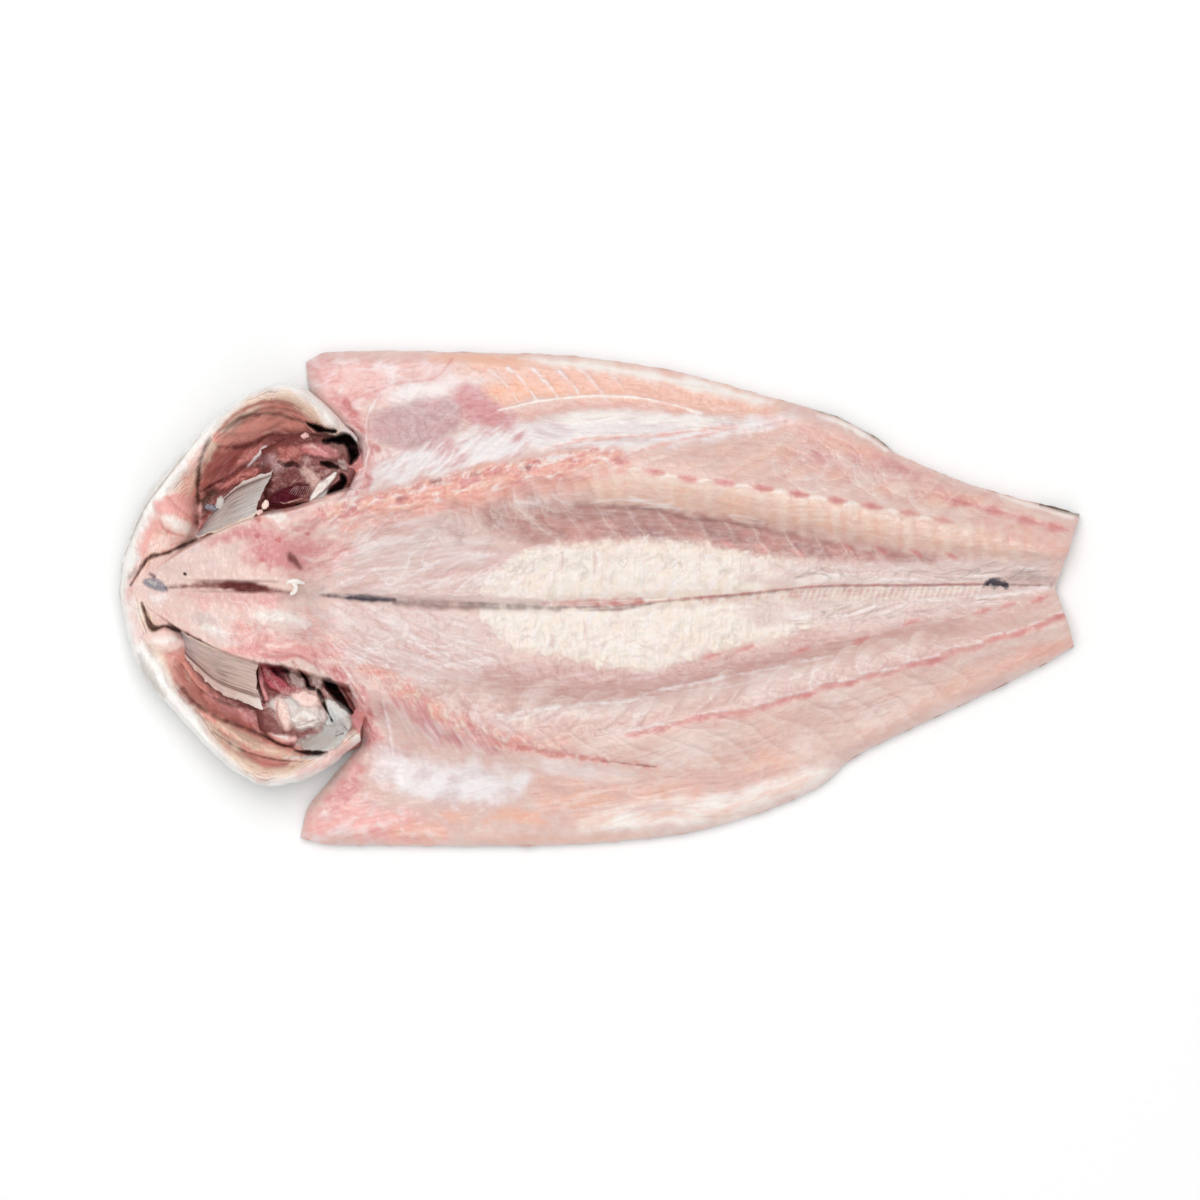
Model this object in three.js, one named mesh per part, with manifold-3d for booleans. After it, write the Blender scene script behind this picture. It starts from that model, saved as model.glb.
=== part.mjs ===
// A butterflied meagre: the fish is opened along the belly, boned, cut off before the tail fin and
// laid flat on its back, with the flesh side up. The split head stays on, and its gill covers stand up
// round two open gill chambers. Millimetres, +Z up, +X towards the tail, +Y the far side.
// The origin is on the table, under the middle of the fish.
import * as THREE from "three";
import { mergeVertices } from "three/addons/utils/BufferGeometryUtils.js";
import Module from "manifold-3d";

// Driving dimensions
const LENGTH = 422; // from the snout to the furthest corner of the tail cut
const WIDTH = 217.5; // across the two belly flaps
const SNOUT_X = -LENGTH / 2;
const TAIL_X = LENGTH / 2;

// Heights above the table along the body, from the neck (0) to the tail cut (1)
const SEAM_HEIGHT = [[0, 13], [0.2, 8], [0.6, 7.5], [1, 9]];
const FAT_HEIGHT = [[0, 16], [0.2, 12], [0.6, 11.5], [1, 12]];
const VALLEY_HEIGHT = [[0, 19], [0.25, 15], [0.55, 13], [0.8, 15], [1, 14.5]];
const RIDGE_HEIGHT = [[0, 22], [0.25, 25], [0.5, 27.5], [0.75, 24], [1, 17]];
const FLANK_HEIGHT = [[0, 13], [0.25, 14], [0.5, 16.5], [0.75, 16], [1, 13]];
const FLAP_HEIGHT = [[0, 10], [0.3, 9], [0.7, 10], [1, 11]];

// Places across one side of the body, as distances from the middle seam
const VALLEY_OFFSET = [[-130, 22], [-50, 29], [-18, 35], [18, 36], [53, 32], [88, 25], [132, 17], [210, 11]];
const RIDGE_OFFSET = [[-130, 40], [-88, 46], [-53, 55], [-18, 61], [18, 61], [53, 53], [88, 43], [132, 32], [210, 15]];
const FLANK_SHARE = 0.5; // the flank's crease, between the ridge and the edge
const FLAP_INSET = 7; // the flap's rounded edge starts this far in
const SEAM_HALF_WIDTH = 2.2;

// The skin's rounded edge
const FLAP_EDGE_HEIGHT = 3.2;
const FLAP_UNDERCUT = 6;
const TAIL_CUT_EASE = 1.6;

// The outline of the body, from the collar's tips to the tail cut
const FAR_EDGE = [
  [-129.1, 104], [-121, 107.8], [-106, WIDTH / 2], [-62, 108.3], [-11, 106.4], [33, 99.8], [77, 87.9],
  [104, 80], [121, 71], [132, 63], [165, 49.5], [TAIL_X, 37],
];
const NEAR_EDGE = [
  [-131.4, -104.8], [-121, -108], [-100, -108.4], [-44, -WIDTH / 2], [0, -107.3], [44, -101.8], [80, -90.5],
  [99, -81], [110, -71], [130, -60.5], [165, -44], [197, -28], [208.4, -21],
];
const FAR_COLLAR = [[-129.1, 104], [-127, 90], [-119, 80], [-106.7, 69.7]];
const NEAR_COLLAR = [[-104.8, -61.6], [-118, -79], [-128, -91.5], [-131.4, -104.8]];
const NECK_X = -112;
const TAIL_NOTCH = [200, 4.8];
const COLLAR_SHARE = 0.17; // how much of the front, across the body, each collar edge takes
const SEAM_Y = [[SNOUT_X, 3.6], [-120, 2], [-50, -2.4], [20, -0.6], [100, 2.4], [TAIL_X, 5]];

// The head: half outlines from the snout to the gill openings
const HEAD_FAR = [
  [SNOUT_X, 3.6], [-209, 16], [-204, 32], [-195, 49.5], [-182, 64], [-167, 80], [-151, 90.5], [-136, 94], [-123, 88],
  [-106, 70],
];
const HEAD_NEAR = [
  [SNOUT_X, 3.6], [-208.5, -10], [-203, -27], [-194, -41], [-180, -56], [-164, -72], [-148, -81], [-134, -81],
  [-120, -74], [-105, -63],
];
const HEAD_AXIS = [[0, SNOUT_X], [0.3, -191], [0.6, -160], [1, -92]]; // the middle end of each rib of the head
const SNOUT_SHARE = 0.006; // the first rib, just behind the snout's tip
const SKULL_HALF_WIDTH = [[-204, 3], [-193, 10], [-176, 18], [-154, 22], [-132, 30], [-112, 38], [-90, 44]];
const SKULL_HEIGHT = [[-208, 13], [-193, 20], [-176, 26], [-154, 31], [-132, 32], [-116, 26], [-100, 15], [-90, 6]];
const SKULL_SHOULDER = 7; // width of the slope from the skull's base down into a gill chamber
const SKULL_SLIT = { from: -186, to: -132, depth: 5, halfWidth: 2.4 };
const RIM_HEIGHT = [[SNOUT_X, 16], [-200, 22], [-176, 30], [-150, 36], [-125, 35], [-106, 24], [-90, 12]];
const HEAD_EDGE_HEIGHT = [[SNOUT_X, 8], [-190, 13], [-150, 18], [-106, 12]];
const RIM_INSET = 6.5;
const RIM_WALL = 13; // run of the inner wall below the rim
const HEAD_UNDERCUT = 30;
const CHAMBER_FLOOR = [[-206, 15], [-192, 18], [-180, 11], [-160, 8], [-108, 8.5], [-90, 7]];
const JAW_MUSCLES = [
  { at: [-188, 36], radius: [13, 15], height: 26 },
  { at: [-191, -20], radius: [13, 13], height: 25 },
];
const MOUTH_PLATES = [
  { at: [-166, 42], radius: [19, 13], height: 15 },
  { at: [-168, -32], radius: [18, 13], height: 15 },
];

// The gills: curved blades that fan out from a root beside the skull, with soft lumps of throat tissue
const GILL_GAP = 0.5;
const GILL_SIDES = [
  {
    name: "gills_far",
    root: [-150, 41],
    tip: [-114, 59],
    bow: 6,
    lumps: [{ at: [-121, 55], size: [9, 7, 5] }],
  },
  {
    name: "gills_near",
    root: [-152, -31],
    tip: [-124, -48],
    bow: -4,
    lumps: [{ at: [-133, -50], size: [12, 8, 6] }, { at: [-119, -54], size: [10, 9, 6] }],
  },
];
const GILL_ARCHES = 3;
const GILL_SPREAD = 7; // distance between neighbouring arches at the middle
const GILL_BLADE = { width: 2.6, height: 4.2, rings: 13, sides: 6, frill: 0.16, frillTurns: 7 };
const LUMP_SEGMENTS = [12, 8];
const LUMP_FOLDS = { depth: 0.12, round: 5, up: 3 };

// Mesh resolution
const BODY_STATIONS = 40;
const BODY_TOP_STEPS = 40;
const BODY_BASE_STEPS = 14;
const HEAD_RIBS = 34;
const HEAD_BASE_STEPS = 5;
const OUTLINE_STEPS = 160;

// Materials
const FLESH = new THREE.MeshStandardMaterial({ color: 0xe3bdb2, roughness: 0.42, metalness: 0 });
const GILL = new THREE.MeshStandardMaterial({ color: 0x8e3f45, roughness: 0.38, metalness: 0 });

const wasm = await Module();
wasm.setup();

// Curves and easing

const clamp = THREE.MathUtils.clamp;
const smooth = (t) => THREE.MathUtils.smoothstep(t, 0, 1);
const mix = THREE.MathUtils.lerp;

// A smooth curve of y against x through a table of [x, y] pairs.
function along(table, x) {
  const last = table.length - 1;
  let i = 0;
  while (i < last - 1 && x > table[i + 1][0]) i += 1;
  const slope = (k) => {
    const a = table[Math.max(k - 1, 0)];
    const b = table[Math.min(k + 1, last)];
    return (b[1] - a[1]) / (b[0] - a[0]);
  };
  const [x0, y0] = table[i];
  const [x1, y1] = table[i + 1];
  const h = x1 - x0;
  const t = clamp((x - x0) / h, 0, 1);
  const t2 = t * t;
  const t3 = t2 * t;
  return (
    y0 * (2 * t3 - 3 * t2 + 1) + y1 * (3 * t2 - 2 * t3) + h * (slope(i) * (t3 - 2 * t2 + t) + slope(i + 1) * (t3 - t2))
  );
}

// The quarter ellipse of a rounded edge: 0 at the edge, 1 from the given distance inwards.
function roundedEdge(distance, run) {
  const t = 1 - clamp(distance / run, 0, 1);
  return Math.sqrt(1 - t * t);
}

// The larger of two heights, eased over a blend where they are close.
function softMax(a, b, blend) {
  const t = Math.max(blend - Math.abs(a - b), 0) / blend;
  return Math.max(a, b) + (t * t * blend) / 4;
}

function curveOf(points) {
  return new THREE.CatmullRomCurve3(points.map(([x, y]) => new THREE.Vector3(x, y, 0)), false, "centripetal");
}

const farEdge = curveOf(FAR_EDGE);
const nearEdge = curveOf(NEAR_EDGE);
const farCollar = curveOf(FAR_COLLAR);
const nearCollar = curveOf(NEAR_COLLAR);
const headFar = curveOf(HEAD_FAR);
const headNear = curveOf(HEAD_NEAR);
const tailCut = [farEdge.getPoint(1), new THREE.Vector3(...TAIL_NOTCH, 0), nearEdge.getPoint(1)];

// The distance in plan from (x, y) to the nearest of some sampled outlines.
function distanceTo(outlines, x, y) {
  let best = Infinity;
  for (const points of outlines) {
    for (let i = 1; i < points.length; i += 1) {
      const a = points[i - 1];
      const b = points[i];
      const dx = b.x - a.x;
      const dy = b.y - a.y;
      const t = clamp(((x - a.x) * dx + (y - a.y) * dy) / (dx * dx + dy * dy || 1), 0, 1);
      best = Math.min(best, Math.hypot(x - a.x - t * dx, y - a.y - t * dy));
    }
  }
  return best;
}

const skinOutlines = [farEdge, nearEdge, farCollar, nearCollar].map((c) => c.getPoints(OUTLINE_STEPS));
const headOutlines = [headFar, headNear].map((c) => c.getPoints(OUTLINE_STEPS));

// Solids

// A closed mesh from a list of points and triangles.
function geometryOf(points, triangles) {
  const geometry = new THREE.BufferGeometry().setFromPoints(points);
  geometry.setIndex(triangles);
  return geometry;
}

// Joins two neighbouring rings of equal length with triangles.
function joinRings(triangles, first, second, count) {
  for (let i = 0; i < count; i += 1) {
    const j = (i + 1) % count;
    triangles.push(first + i, second + i, first + j, first + j, second + i, second + j);
  }
}

// A cap over one end of a loft: a strip of triangles between the upper and the lower row of a ring,
// whose points run along the upper row and back along the lower one.
function capRing(triangles, first, count, upperSteps, facesForward) {
  const lowerSteps = count - upperSteps;
  const upper = (i) => first + i;
  const lower = (j) => first + ((count - j) % count);
  let i = 0;
  let j = 0;
  while (i < upperSteps || j < lowerSteps) {
    const stepUpper = j === lowerSteps || (i < upperSteps && (i + 1) / upperSteps <= (j + 1) / lowerSteps);
    const corners = [upper(i), stepUpper ? upper(i + 1) : lower(j + 1), lower(j)];
    if (stepUpper) i += 1;
    else j += 1;
    if (new Set(corners).size === 3) triangles.push(...(facesForward ? corners.reverse() : corners));
  }
}

// A solid lofted through rings of points, each with the same number of steps in its upper row.
function loft(rings, upperSteps) {
  const count = rings[0].length;
  const triangles = [];
  for (let k = 1; k < rings.length; k += 1) joinRings(triangles, (k - 1) * count, k * count, count);
  capRing(triangles, 0, count, upperSteps, false);
  capRing(triangles, (rings.length - 1) * count, count, upperSteps, true);
  return geometryOf(rings.flat(), triangles);
}

function solidOf(geometry) {
  const bare = geometry.index ? geometry : mergeVertices(geometry);
  const made = new wasm.Manifold(
    new wasm.Mesh({
      numProp: 3,
      vertProperties: new Float32Array(bare.getAttribute("position").array),
      triVerts: new Uint32Array(bare.index.array),
    }),
  );
  return made;
}

// The largest body of a solid: a scrap that a cut leaves is dropped, and a hollow that a join seals is filled.
function wholePiece(solid) {
  return solid.decompose().reduce((a, b) => (a.volume() > b.volume() ? a : b));
}

function geometryFromSolid(solid) {
  const mesh = solid.getMesh();
  const geometry = new THREE.BufferGeometry();
  geometry.setAttribute("position", new THREE.BufferAttribute(mesh.vertProperties, 3));
  geometry.setIndex(new THREE.BufferAttribute(mesh.triVerts, 1));
  geometry.computeVertexNormals();
  return geometry;
}

// The body

// The front of the body from the far collar tip (0) to the near one (1), through the neck.
function frontPoint(t) {
  if (t < COLLAR_SHARE) return farCollar.getPoint(t / COLLAR_SHARE);
  if (t > 1 - COLLAR_SHARE) return nearCollar.getPoint((t - 1 + COLLAR_SHARE) / COLLAR_SHARE);
  const u = (t - COLLAR_SHARE) / (1 - 2 * COLLAR_SHARE);
  const from = farCollar.getPoint(1);
  const to = nearCollar.getPoint(0);
  const bulge = 4 * u * (1 - u);
  return new THREE.Vector3(mix(mix(from.x, to.x, u), NECK_X, bulge), mix(from.y, to.y, u), 0);
}

function tailPoint(t) {
  const [far, notch, near] = tailCut;
  return t < 0.5 ? far.clone().lerp(notch, 2 * t) : notch.clone().lerp(near, 2 * t - 1);
}

// A plan point of the body from its share of the length and of the width, blended from the four edges.
function bodyPlan(s, t) {
  const far = farEdge.getPoint(s);
  const near = nearEdge.getPoint(s);
  const front = frontPoint(t);
  const tail = tailPoint(t);
  const corner = (key) =>
    mix(mix(frontPoint(0)[key], tailPoint(0)[key], s), mix(frontPoint(1)[key], tailPoint(1)[key], s), t);
  const blend = (key) => mix(far[key], near[key], t) + mix(front[key], tail[key], s) - corner(key);
  return [blend("x"), blend("y")];
}

// The height of the flesh on the body, before its edges are rounded.
function fleshHeight(x, y, edgeDistance) {
  const s = clamp((x - NECK_X) / (TAIL_X - NECK_X), 0, 1);
  const side = Math.abs(y - along(SEAM_Y, x));
  const valley = along(VALLEY_OFFSET, x);
  const ridge = along(RIDGE_OFFSET, x);
  const edge = Math.max(side + edgeDistance, ridge + FLAP_INSET + 4);
  const flank = mix(ridge, edge, FLANK_SHARE);
  const section = [
    [0, along(SEAM_HEIGHT, s)],
    [SEAM_HALF_WIDTH * 2, along(FAT_HEIGHT, s) - 1],
    [valley * 0.55, along(FAT_HEIGHT, s)],
    [valley, along(VALLEY_HEIGHT, s)],
    [ridge, along(RIDGE_HEIGHT, s)],
    [flank, along(FLANK_HEIGHT, s)],
    [edge, along(FLAP_HEIGHT, s)],
  ];
  return along(section, side);
}

// The body's upper and lower surface at a plan point.
function bodyHeights(x, y) {
  const edgeDistance = distanceTo(skinOutlines, x, y);
  const tailDistance = distanceTo([tailCut], x, y);
  const flesh = fleshHeight(x, y, edgeDistance);
  const ease = TAIL_CUT_EASE * (1 - roundedEdge(tailDistance, 2 * TAIL_CUT_EASE));
  return {
    top: mix(FLAP_EDGE_HEIGHT, flesh - ease, roundedEdge(edgeDistance, FLAP_INSET)),
    base: FLAP_EDGE_HEIGHT * (1 - roundedEdge(edgeDistance, FLAP_UNDERCUT)),
  };
}

// Steps across the body, closer together at the edges and along the seam.
function acrossStep(k, steps) {
  const t = k / steps;
  return t - (Math.sin(4 * Math.PI * t) / (4 * Math.PI)) * 0.45;
}

function bodySolid() {
  const rings = [];
  for (let k = 0; k <= BODY_STATIONS; k += 1) {
    const s = k / BODY_STATIONS;
    const ring = [];
    for (let i = BODY_TOP_STEPS; i >= 0; i -= 1) {
      const [x, y] = bodyPlan(s, acrossStep(i, BODY_TOP_STEPS));
      ring.push(new THREE.Vector3(x, y, bodyHeights(x, y).top));
    }
    for (let i = 1; i < BODY_BASE_STEPS; i += 1) {
      const [x, y] = bodyPlan(s, acrossStep(i, BODY_BASE_STEPS));
      ring.push(new THREE.Vector3(x, y, bodyHeights(x, y).base));
    }
    rings.push(ring);
  }
  return solidOf(loft(rings, BODY_TOP_STEPS));
}

// The head

// The height inside a bump that stands on an oval, or nothing outside it.
function bump({ at, radius, height }, x, y) {
  const reach = Math.hypot((x - at[0]) / radius[0], (y - at[1]) / radius[1]);
  return height * Math.sqrt(Math.max(1 - reach * reach, 0));
}

function skullHeight(x, y) {
  const side = Math.abs(y - along(SEAM_Y, x));
  const fall = smooth((along(SKULL_HALF_WIDTH, x) - side) / SKULL_SHOULDER + 0.5);
  const { from, to, depth, halfWidth } = SKULL_SLIT;
  const inSlit = smooth((x - from) / 8) * smooth((to - x) / 8) * smooth(2 - side / halfWidth);
  return along(SKULL_HEIGHT, x) * fall - depth * inSlit;
}

function headHeights(x, y) {
  const distance = distanceTo(headOutlines, x, y);
  const edge = along(HEAD_EDGE_HEIGHT, x);
  const crest = along(RIM_HEIGHT, x);
  const floor = along(CHAMBER_FLOOR, x);
  const wall = mix(crest, floor, smooth((distance - RIM_INSET) / RIM_WALL));
  let inside = softMax(wall, skullHeight(x, y), 5);
  for (const part of [...JAW_MUSCLES, ...MOUTH_PLATES]) inside = softMax(inside, bump(part, x, y), 4);
  return {
    top: mix(edge, inside, roundedEdge(distance, RIM_INSET)),
    base: edge * (1 - roundedEdge(distance, HEAD_UNDERCUT)),
  };
}

// Distances along one rib of the head, from the middle to the outline, where the surface turns.
function ribSteps(length, x) {
  const skull = along(SKULL_HALF_WIDTH, x);
  const slit = SKULL_SLIT.halfWidth;
  const half = SKULL_SHOULDER / 2;
  const rim = length - RIM_INSET;
  const wanted = [
    slit * 0.7, slit * 2, skull * 0.5, skull - half, skull, skull + half,
    (skull + half + rim - RIM_WALL) / 2, rim - RIM_WALL, rim - RIM_WALL * 0.66, rim - RIM_WALL * 0.33,
    rim - 2, rim, rim + RIM_INSET * 0.45, rim + RIM_INSET * 0.8,
  ];
  const least = length / (wanted.length + 1) / 2.5;
  const steps = [];
  for (const w of wanted) steps.push(Math.max(w, (steps.at(-1) ?? 0) + least));
  const squeeze = Math.min(1, (length - least) / steps.at(-1));
  return steps.map((w) => w * squeeze);
}

// One half of a rib: the plan points from the middle out to the outline.
function headRib(outline, share) {
  const middleX = along(HEAD_AXIS, share);
  const middle = new THREE.Vector3(middleX, along(SEAM_Y, middleX), 0);
  const edge = outline.getPoint(share);
  const length = middle.distanceTo(edge);
  const at = (distance) => middle.clone().lerp(edge, distance / length);
  const base = Array.from({ length: HEAD_BASE_STEPS - 1 }, (_, k) => at((length * (k + 1)) / HEAD_BASE_STEPS));
  return { middle, edge, top: ribSteps(length, (middleX + edge.x) / 2).map(at), base };
}

function headSolid() {
  const raise = (surface) => (p) => new THREE.Vector3(p.x, p.y, headHeights(p.x, p.y)[surface]);
  const rings = [];
  let upperSteps = 0;
  for (let k = 0; k <= HEAD_RIBS; k += 1) {
    const share = mix(SNOUT_SHARE, 1, k / HEAD_RIBS);
    const far = headRib(headFar, share);
    const near = headRib(headNear, share);
    const over = [near.edge, ...near.top.toReversed(), near.middle, ...far.top, far.edge];
    const under = [...far.base.toReversed(), far.middle, ...near.base];
    rings.push([...over.map(raise("top")), ...under.map(raise("base"))]);
    upperSteps = over.length - 1;
  }
  return solidOf(loft(rings, upperSteps));
}

// The gills

// One gill arch: a blade along a bowed line that rides just above the floor of the gill chamber.
function gillArch({ root, tip, bow }, index) {
  const { width, height, rings: count, sides, frill, frillTurns } = GILL_BLADE;
  const spread = (index - (GILL_ARCHES - 1) / 2) * GILL_SPREAD;
  const rings = [];
  for (let k = 0; k <= count; k += 1) {
    const t = k / count;
    const arc = Math.sin(Math.PI * t);
    const x = mix(root[0], tip[0], t) + spread * arc * 0.6;
    const y = mix(root[1], tip[1], t) + (bow + spread) * arc;
    const taper = Math.sqrt(Math.sin(Math.PI * mix(0.06, 0.94, t)));
    const across = width * taper * (1 + frill * Math.cos(2 * Math.PI * frillTurns * t));
    const tall = height * taper;
    const ground = Math.max(...[-1, 0, 1].map((n) => headHeights(x, y + n * across).top));
    const ring = [];
    for (let i = 0; i < sides; i += 1) {
      const angle = (-2 * Math.PI * i) / sides;
      const lift = ground + GILL_GAP + tall + tall * Math.sin(angle);
      ring.push(new THREE.Vector3(x, y + across * Math.cos(angle), lift));
    }
    rings.push(ring);
  }
  return solidOf(loft(rings, sides / 2));
}

// A soft, uneven lump of throat tissue on the floor of the gill chamber.
function throatLump({ at, size }) {
  const [x, y] = at;
  const lump = new THREE.SphereGeometry(1, ...LUMP_SEGMENTS);
  lump.deleteAttribute("normal");
  lump.deleteAttribute("uv");
  const ball = mergeVertices(lump);
  const place = ball.getAttribute("position");
  for (let i = 0; i < place.count; i += 1) {
    const p = new THREE.Vector3().fromBufferAttribute(place, i);
    const fold = Math.sin(LUMP_FOLDS.round * Math.atan2(p.z, p.x)) * Math.sin(LUMP_FOLDS.up * p.y);
    p.multiplyScalar(1 + LUMP_FOLDS.depth * fold);
    place.setXYZ(i, p.x, p.y, p.z);
  }
  ball.scale(...size);
  ball.translate(x, y, headHeights(x, y).top + GILL_GAP + size[2]);
  return solidOf(ball);
}

// The arches and lumps of one side, trimmed to lie clear of the chamber's walls.
function gillBundle(side, walls) {
  const arches = Array.from({ length: GILL_ARCHES }, (_, k) => gillArch(side, k));
  const bundle = [...arches, ...side.lumps.map(throatLump)].reduce((a, b) => a.add(b));
  return wholePiece(bundle.subtract(walls.translate([0, 0, GILL_GAP])));
}

function named(name, solid, material) {
  const mesh = new THREE.Mesh(geometryFromSolid(solid), material);
  mesh.name = name;
  return mesh;
}

const fishSolid = wholePiece(bodySolid().add(headSolid()));
const meagre = new THREE.Group();
meagre.add(named("fish", fishSolid, FLESH));
for (const side of GILL_SIDES) {
  meagre.add(named(side.name, gillBundle(side, fishSolid), GILL));
}

export default meagre;
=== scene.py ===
"""A raw butterflied meagre: its flesh, skin, split head and gills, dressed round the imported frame.

Lengths in the tables are millimetres in the frame's axes: +X to the tail, +Y the far half, +Z up.
Painted marks are placed in the photograph's pixels, as lines of (u, v, half width).
"""

import itertools
import math

import bmesh
import bpy
import numpy as np
from bpy.props import FloatProperty, FloatVectorProperty, IntProperty, PointerProperty
from mathutils import Matrix, Vector
from mathutils import noise as solid_noise


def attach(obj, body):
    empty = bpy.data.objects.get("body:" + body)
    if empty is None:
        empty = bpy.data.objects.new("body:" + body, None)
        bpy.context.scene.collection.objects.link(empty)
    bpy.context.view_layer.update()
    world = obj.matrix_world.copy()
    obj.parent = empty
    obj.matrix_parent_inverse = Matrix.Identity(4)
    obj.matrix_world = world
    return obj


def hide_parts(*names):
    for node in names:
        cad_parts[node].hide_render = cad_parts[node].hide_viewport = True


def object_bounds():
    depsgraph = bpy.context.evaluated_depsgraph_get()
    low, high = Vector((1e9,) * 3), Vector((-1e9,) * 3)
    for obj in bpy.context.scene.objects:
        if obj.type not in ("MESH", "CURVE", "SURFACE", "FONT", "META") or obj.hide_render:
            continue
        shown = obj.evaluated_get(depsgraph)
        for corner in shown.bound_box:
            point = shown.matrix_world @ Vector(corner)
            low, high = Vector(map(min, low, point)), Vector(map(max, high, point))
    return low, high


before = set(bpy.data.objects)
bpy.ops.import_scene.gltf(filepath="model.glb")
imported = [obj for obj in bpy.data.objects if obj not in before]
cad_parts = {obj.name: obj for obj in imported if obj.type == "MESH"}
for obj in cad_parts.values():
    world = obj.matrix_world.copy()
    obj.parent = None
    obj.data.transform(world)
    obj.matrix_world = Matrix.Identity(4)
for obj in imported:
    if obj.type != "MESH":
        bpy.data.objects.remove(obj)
CAD_BOX = [list(corner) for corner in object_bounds()]

bl_info = {
    "name": "Butterflied Meagre",
    "version": (1, 0, 0),
    "blender": (4, 5, 0),
    "location": "3D View > Sidebar > Meagre",
    "description": "Dresses a butterflied meagre's frame with flesh, skin, a split head and gills",
    "category": "Object",
}

MM = 0.001
PIXEL = 0.44  # millimetres of the fish under one pixel of the photograph
PHOTO_ORIGIN = (599.5, 598.5)  # the pixel over the frame's origin
PHOTO_WIDTH = 1200
PHOTO_MIDDLE = (600, 600)


# Driving sizes of the body, in millimetres

SNOUT_X = CAD_BOX[0][0] / MM
TAIL_X = CAD_BOX[1][0] / MM
HALF_WIDTH = CAD_BOX[1][1] / MM
NECK_X = -112
TAIL_NOTCH_X = 200
SEAM_Y = ((-211, 3.6), (-120, 2), (-50, -2.4), (20, -0.6), (100, 2.4), (211, 5))

# Heights above the table along the body, from the neck (0) to the tail cut (1)
SEAM_HEIGHT = ((0, 13), (0.2, 8), (0.6, 7.5), (1, 9))
FAT_HEIGHT = ((0, 16), (0.2, 12), (0.6, 11.5), (1, 12))
VALLEY_HEIGHT = ((0, 19), (0.25, 15), (0.55, 13), (0.8, 15), (1, 14.5))
RIDGE_HEIGHT = ((0, 22), (0.25, 25), (0.5, 27.5), (0.75, 24), (1, 17))
FLANK_HEIGHT = ((0, 13), (0.25, 14), (0.5, 16.5), (0.75, 16), (1, 13))
FLAP_HEIGHT = ((0, 10), (0.3, 9), (0.7, 10), (1, 11))

# Places across one half, as distances from the seam
VALLEY_OFFSET = ((-130, 22), (-50, 29), (-18, 35), (18, 36), (53, 32), (88, 25), (132, 17), (210, 11))
RIDGE_OFFSET = (
    (-130, 40), (-88, 46), (-53, 55), (-18, 61), (18, 61), (53, 53), (88, 43), (132, 32), (210, 15),
)
SEAM_HALF_WIDTH = 2.2
SEAM_STEP = 1  # from the fat's top down to the seam's edge
FAT_SHARE = 0.55  # of the way from the seam to the valley
FLANK_ROOM = 4  # least width of a flank beside its rounded edge
FLAP_INSET = 7
FLAP_EDGE_HEIGHT = 3.2
FLAP_UNDERCUT = 6
TAIL_CUT_EASE = 1.6
LEDGE = {"share": 0.5, "rise": 0.82}

# The body's outline in plan
FAR_EDGE = (
    (-129.1, 104), (-121, 107.8), (-106, HALF_WIDTH), (-62, 108.3), (-11, 106.4), (33, 99.8),
    (77, 87.9), (104, 80), (121, 71), (132, 63), (165, 49.5), (TAIL_X, 37),
)
NEAR_EDGE = (
    (-131.4, -104.8), (-121, -108), (-100, -108.4), (-44, -HALF_WIDTH), (0, -107.3), (44, -101.8),
    (80, -90.5), (99, -81), (110, -71), (130, -60.5), (165, -44), (197, -28), (208.4, -21),
)
FAR_COLLAR = ((-106.7, 69.7), (-119, 80), (-127, 90), (-129.1, 104))
NEAR_COLLAR = ((-104.8, -61.6), (-118, -79), (-128, -91.5), (-131.4, -104.8))
FAR_NECK = ((NECK_X, 2.1), (-111.5, 25), (-109.5, 48))
NEAR_NECK = ((NECK_X, 2.1), (-111.5, -20), (-109, -42))

# The head's outline, the skull in its middle, and heights along the head
HEAD_FAR = (
    (SNOUT_X, 3.6), (-209, 16), (-204, 32), (-195, 49.5), (-182, 64), (-167, 80), (-151, 90.5),
    (-136, 94), (-123, 88), (-106, 70),
)
HEAD_NEAR = (
    (SNOUT_X, 3.6), (-208.5, -10), (-203, -27), (-194, -41), (-180, -56), (-164, -72), (-148, -81),
    (-134, -81), (-120, -74), (-105, -63),
)
HEAD_AXIS = ((0, SNOUT_X), (0.3, -191), (0.6, -160), (1, -92))
SKULL_HALF_WIDTH = ((-204, 4), (-193, 12), (-176, 22.5), (-154, 31), (-132, 35), (-112, 39), (-90, 44))
SKULL_FAR_EXTRA = ((-175, 0), (-145, 2.5), (-132, 3.2), (-112, 6.5), (-90, 8))
SKULL_HEIGHT = ((-208, 13), (-193, 20), (-176, 26), (-154, 31), (-132, 32), (-116, 26), (-100, 15), (-90, 6))
SKULL_SHOULDER = 4.5
SKULL_SLIT = {"start": -186, "end": -132, "offset": 2.4, "depth": 2.2, "half_width": 1.6, "ease": 14}
RIM_HEIGHT = ((SNOUT_X, 16), (-200, 22), (-176, 30), (-150, 36), (-125, 35), (-106, 24), (-90, 12))
HEAD_EDGE_HEIGHT = ((SNOUT_X, 8), (-190, 13), (-150, 18), (-106, 12))
CHAMBER_FLOOR = ((-206, 15), (-192, 18), (-180, 11), (-160, 8), (-108, 8.5), (-90, 7))
RIM_INSET = 3
RIM_WALL = 18
HEAD_UNDERCUT = 30
JAW_MUSCLES = (((-188, 36), (13, 15), 26), ((-191, -20), (13, 13), 25))  # place, half sizes, height
SKULL_BLEND = 5
JAW_BLEND = 4


# Colours and sizes that a user may change


def srgb(red, green, blue):
    """A colour of 0 to 255 as the scene's linear values."""
    levels = (channel / 255 for channel in (red, green, blue))
    return tuple(v / 12.92 if v <= 0.04045 else ((v + 0.055) / 1.055) ** 2.4 for v in levels)


def tint(name, description, red, green, blue):
    return FloatVectorProperty(
        name=name, description=description, subtype="COLOR", size=3, min=0, max=1,
        default=srgb(red, green, blue),
    )


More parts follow.
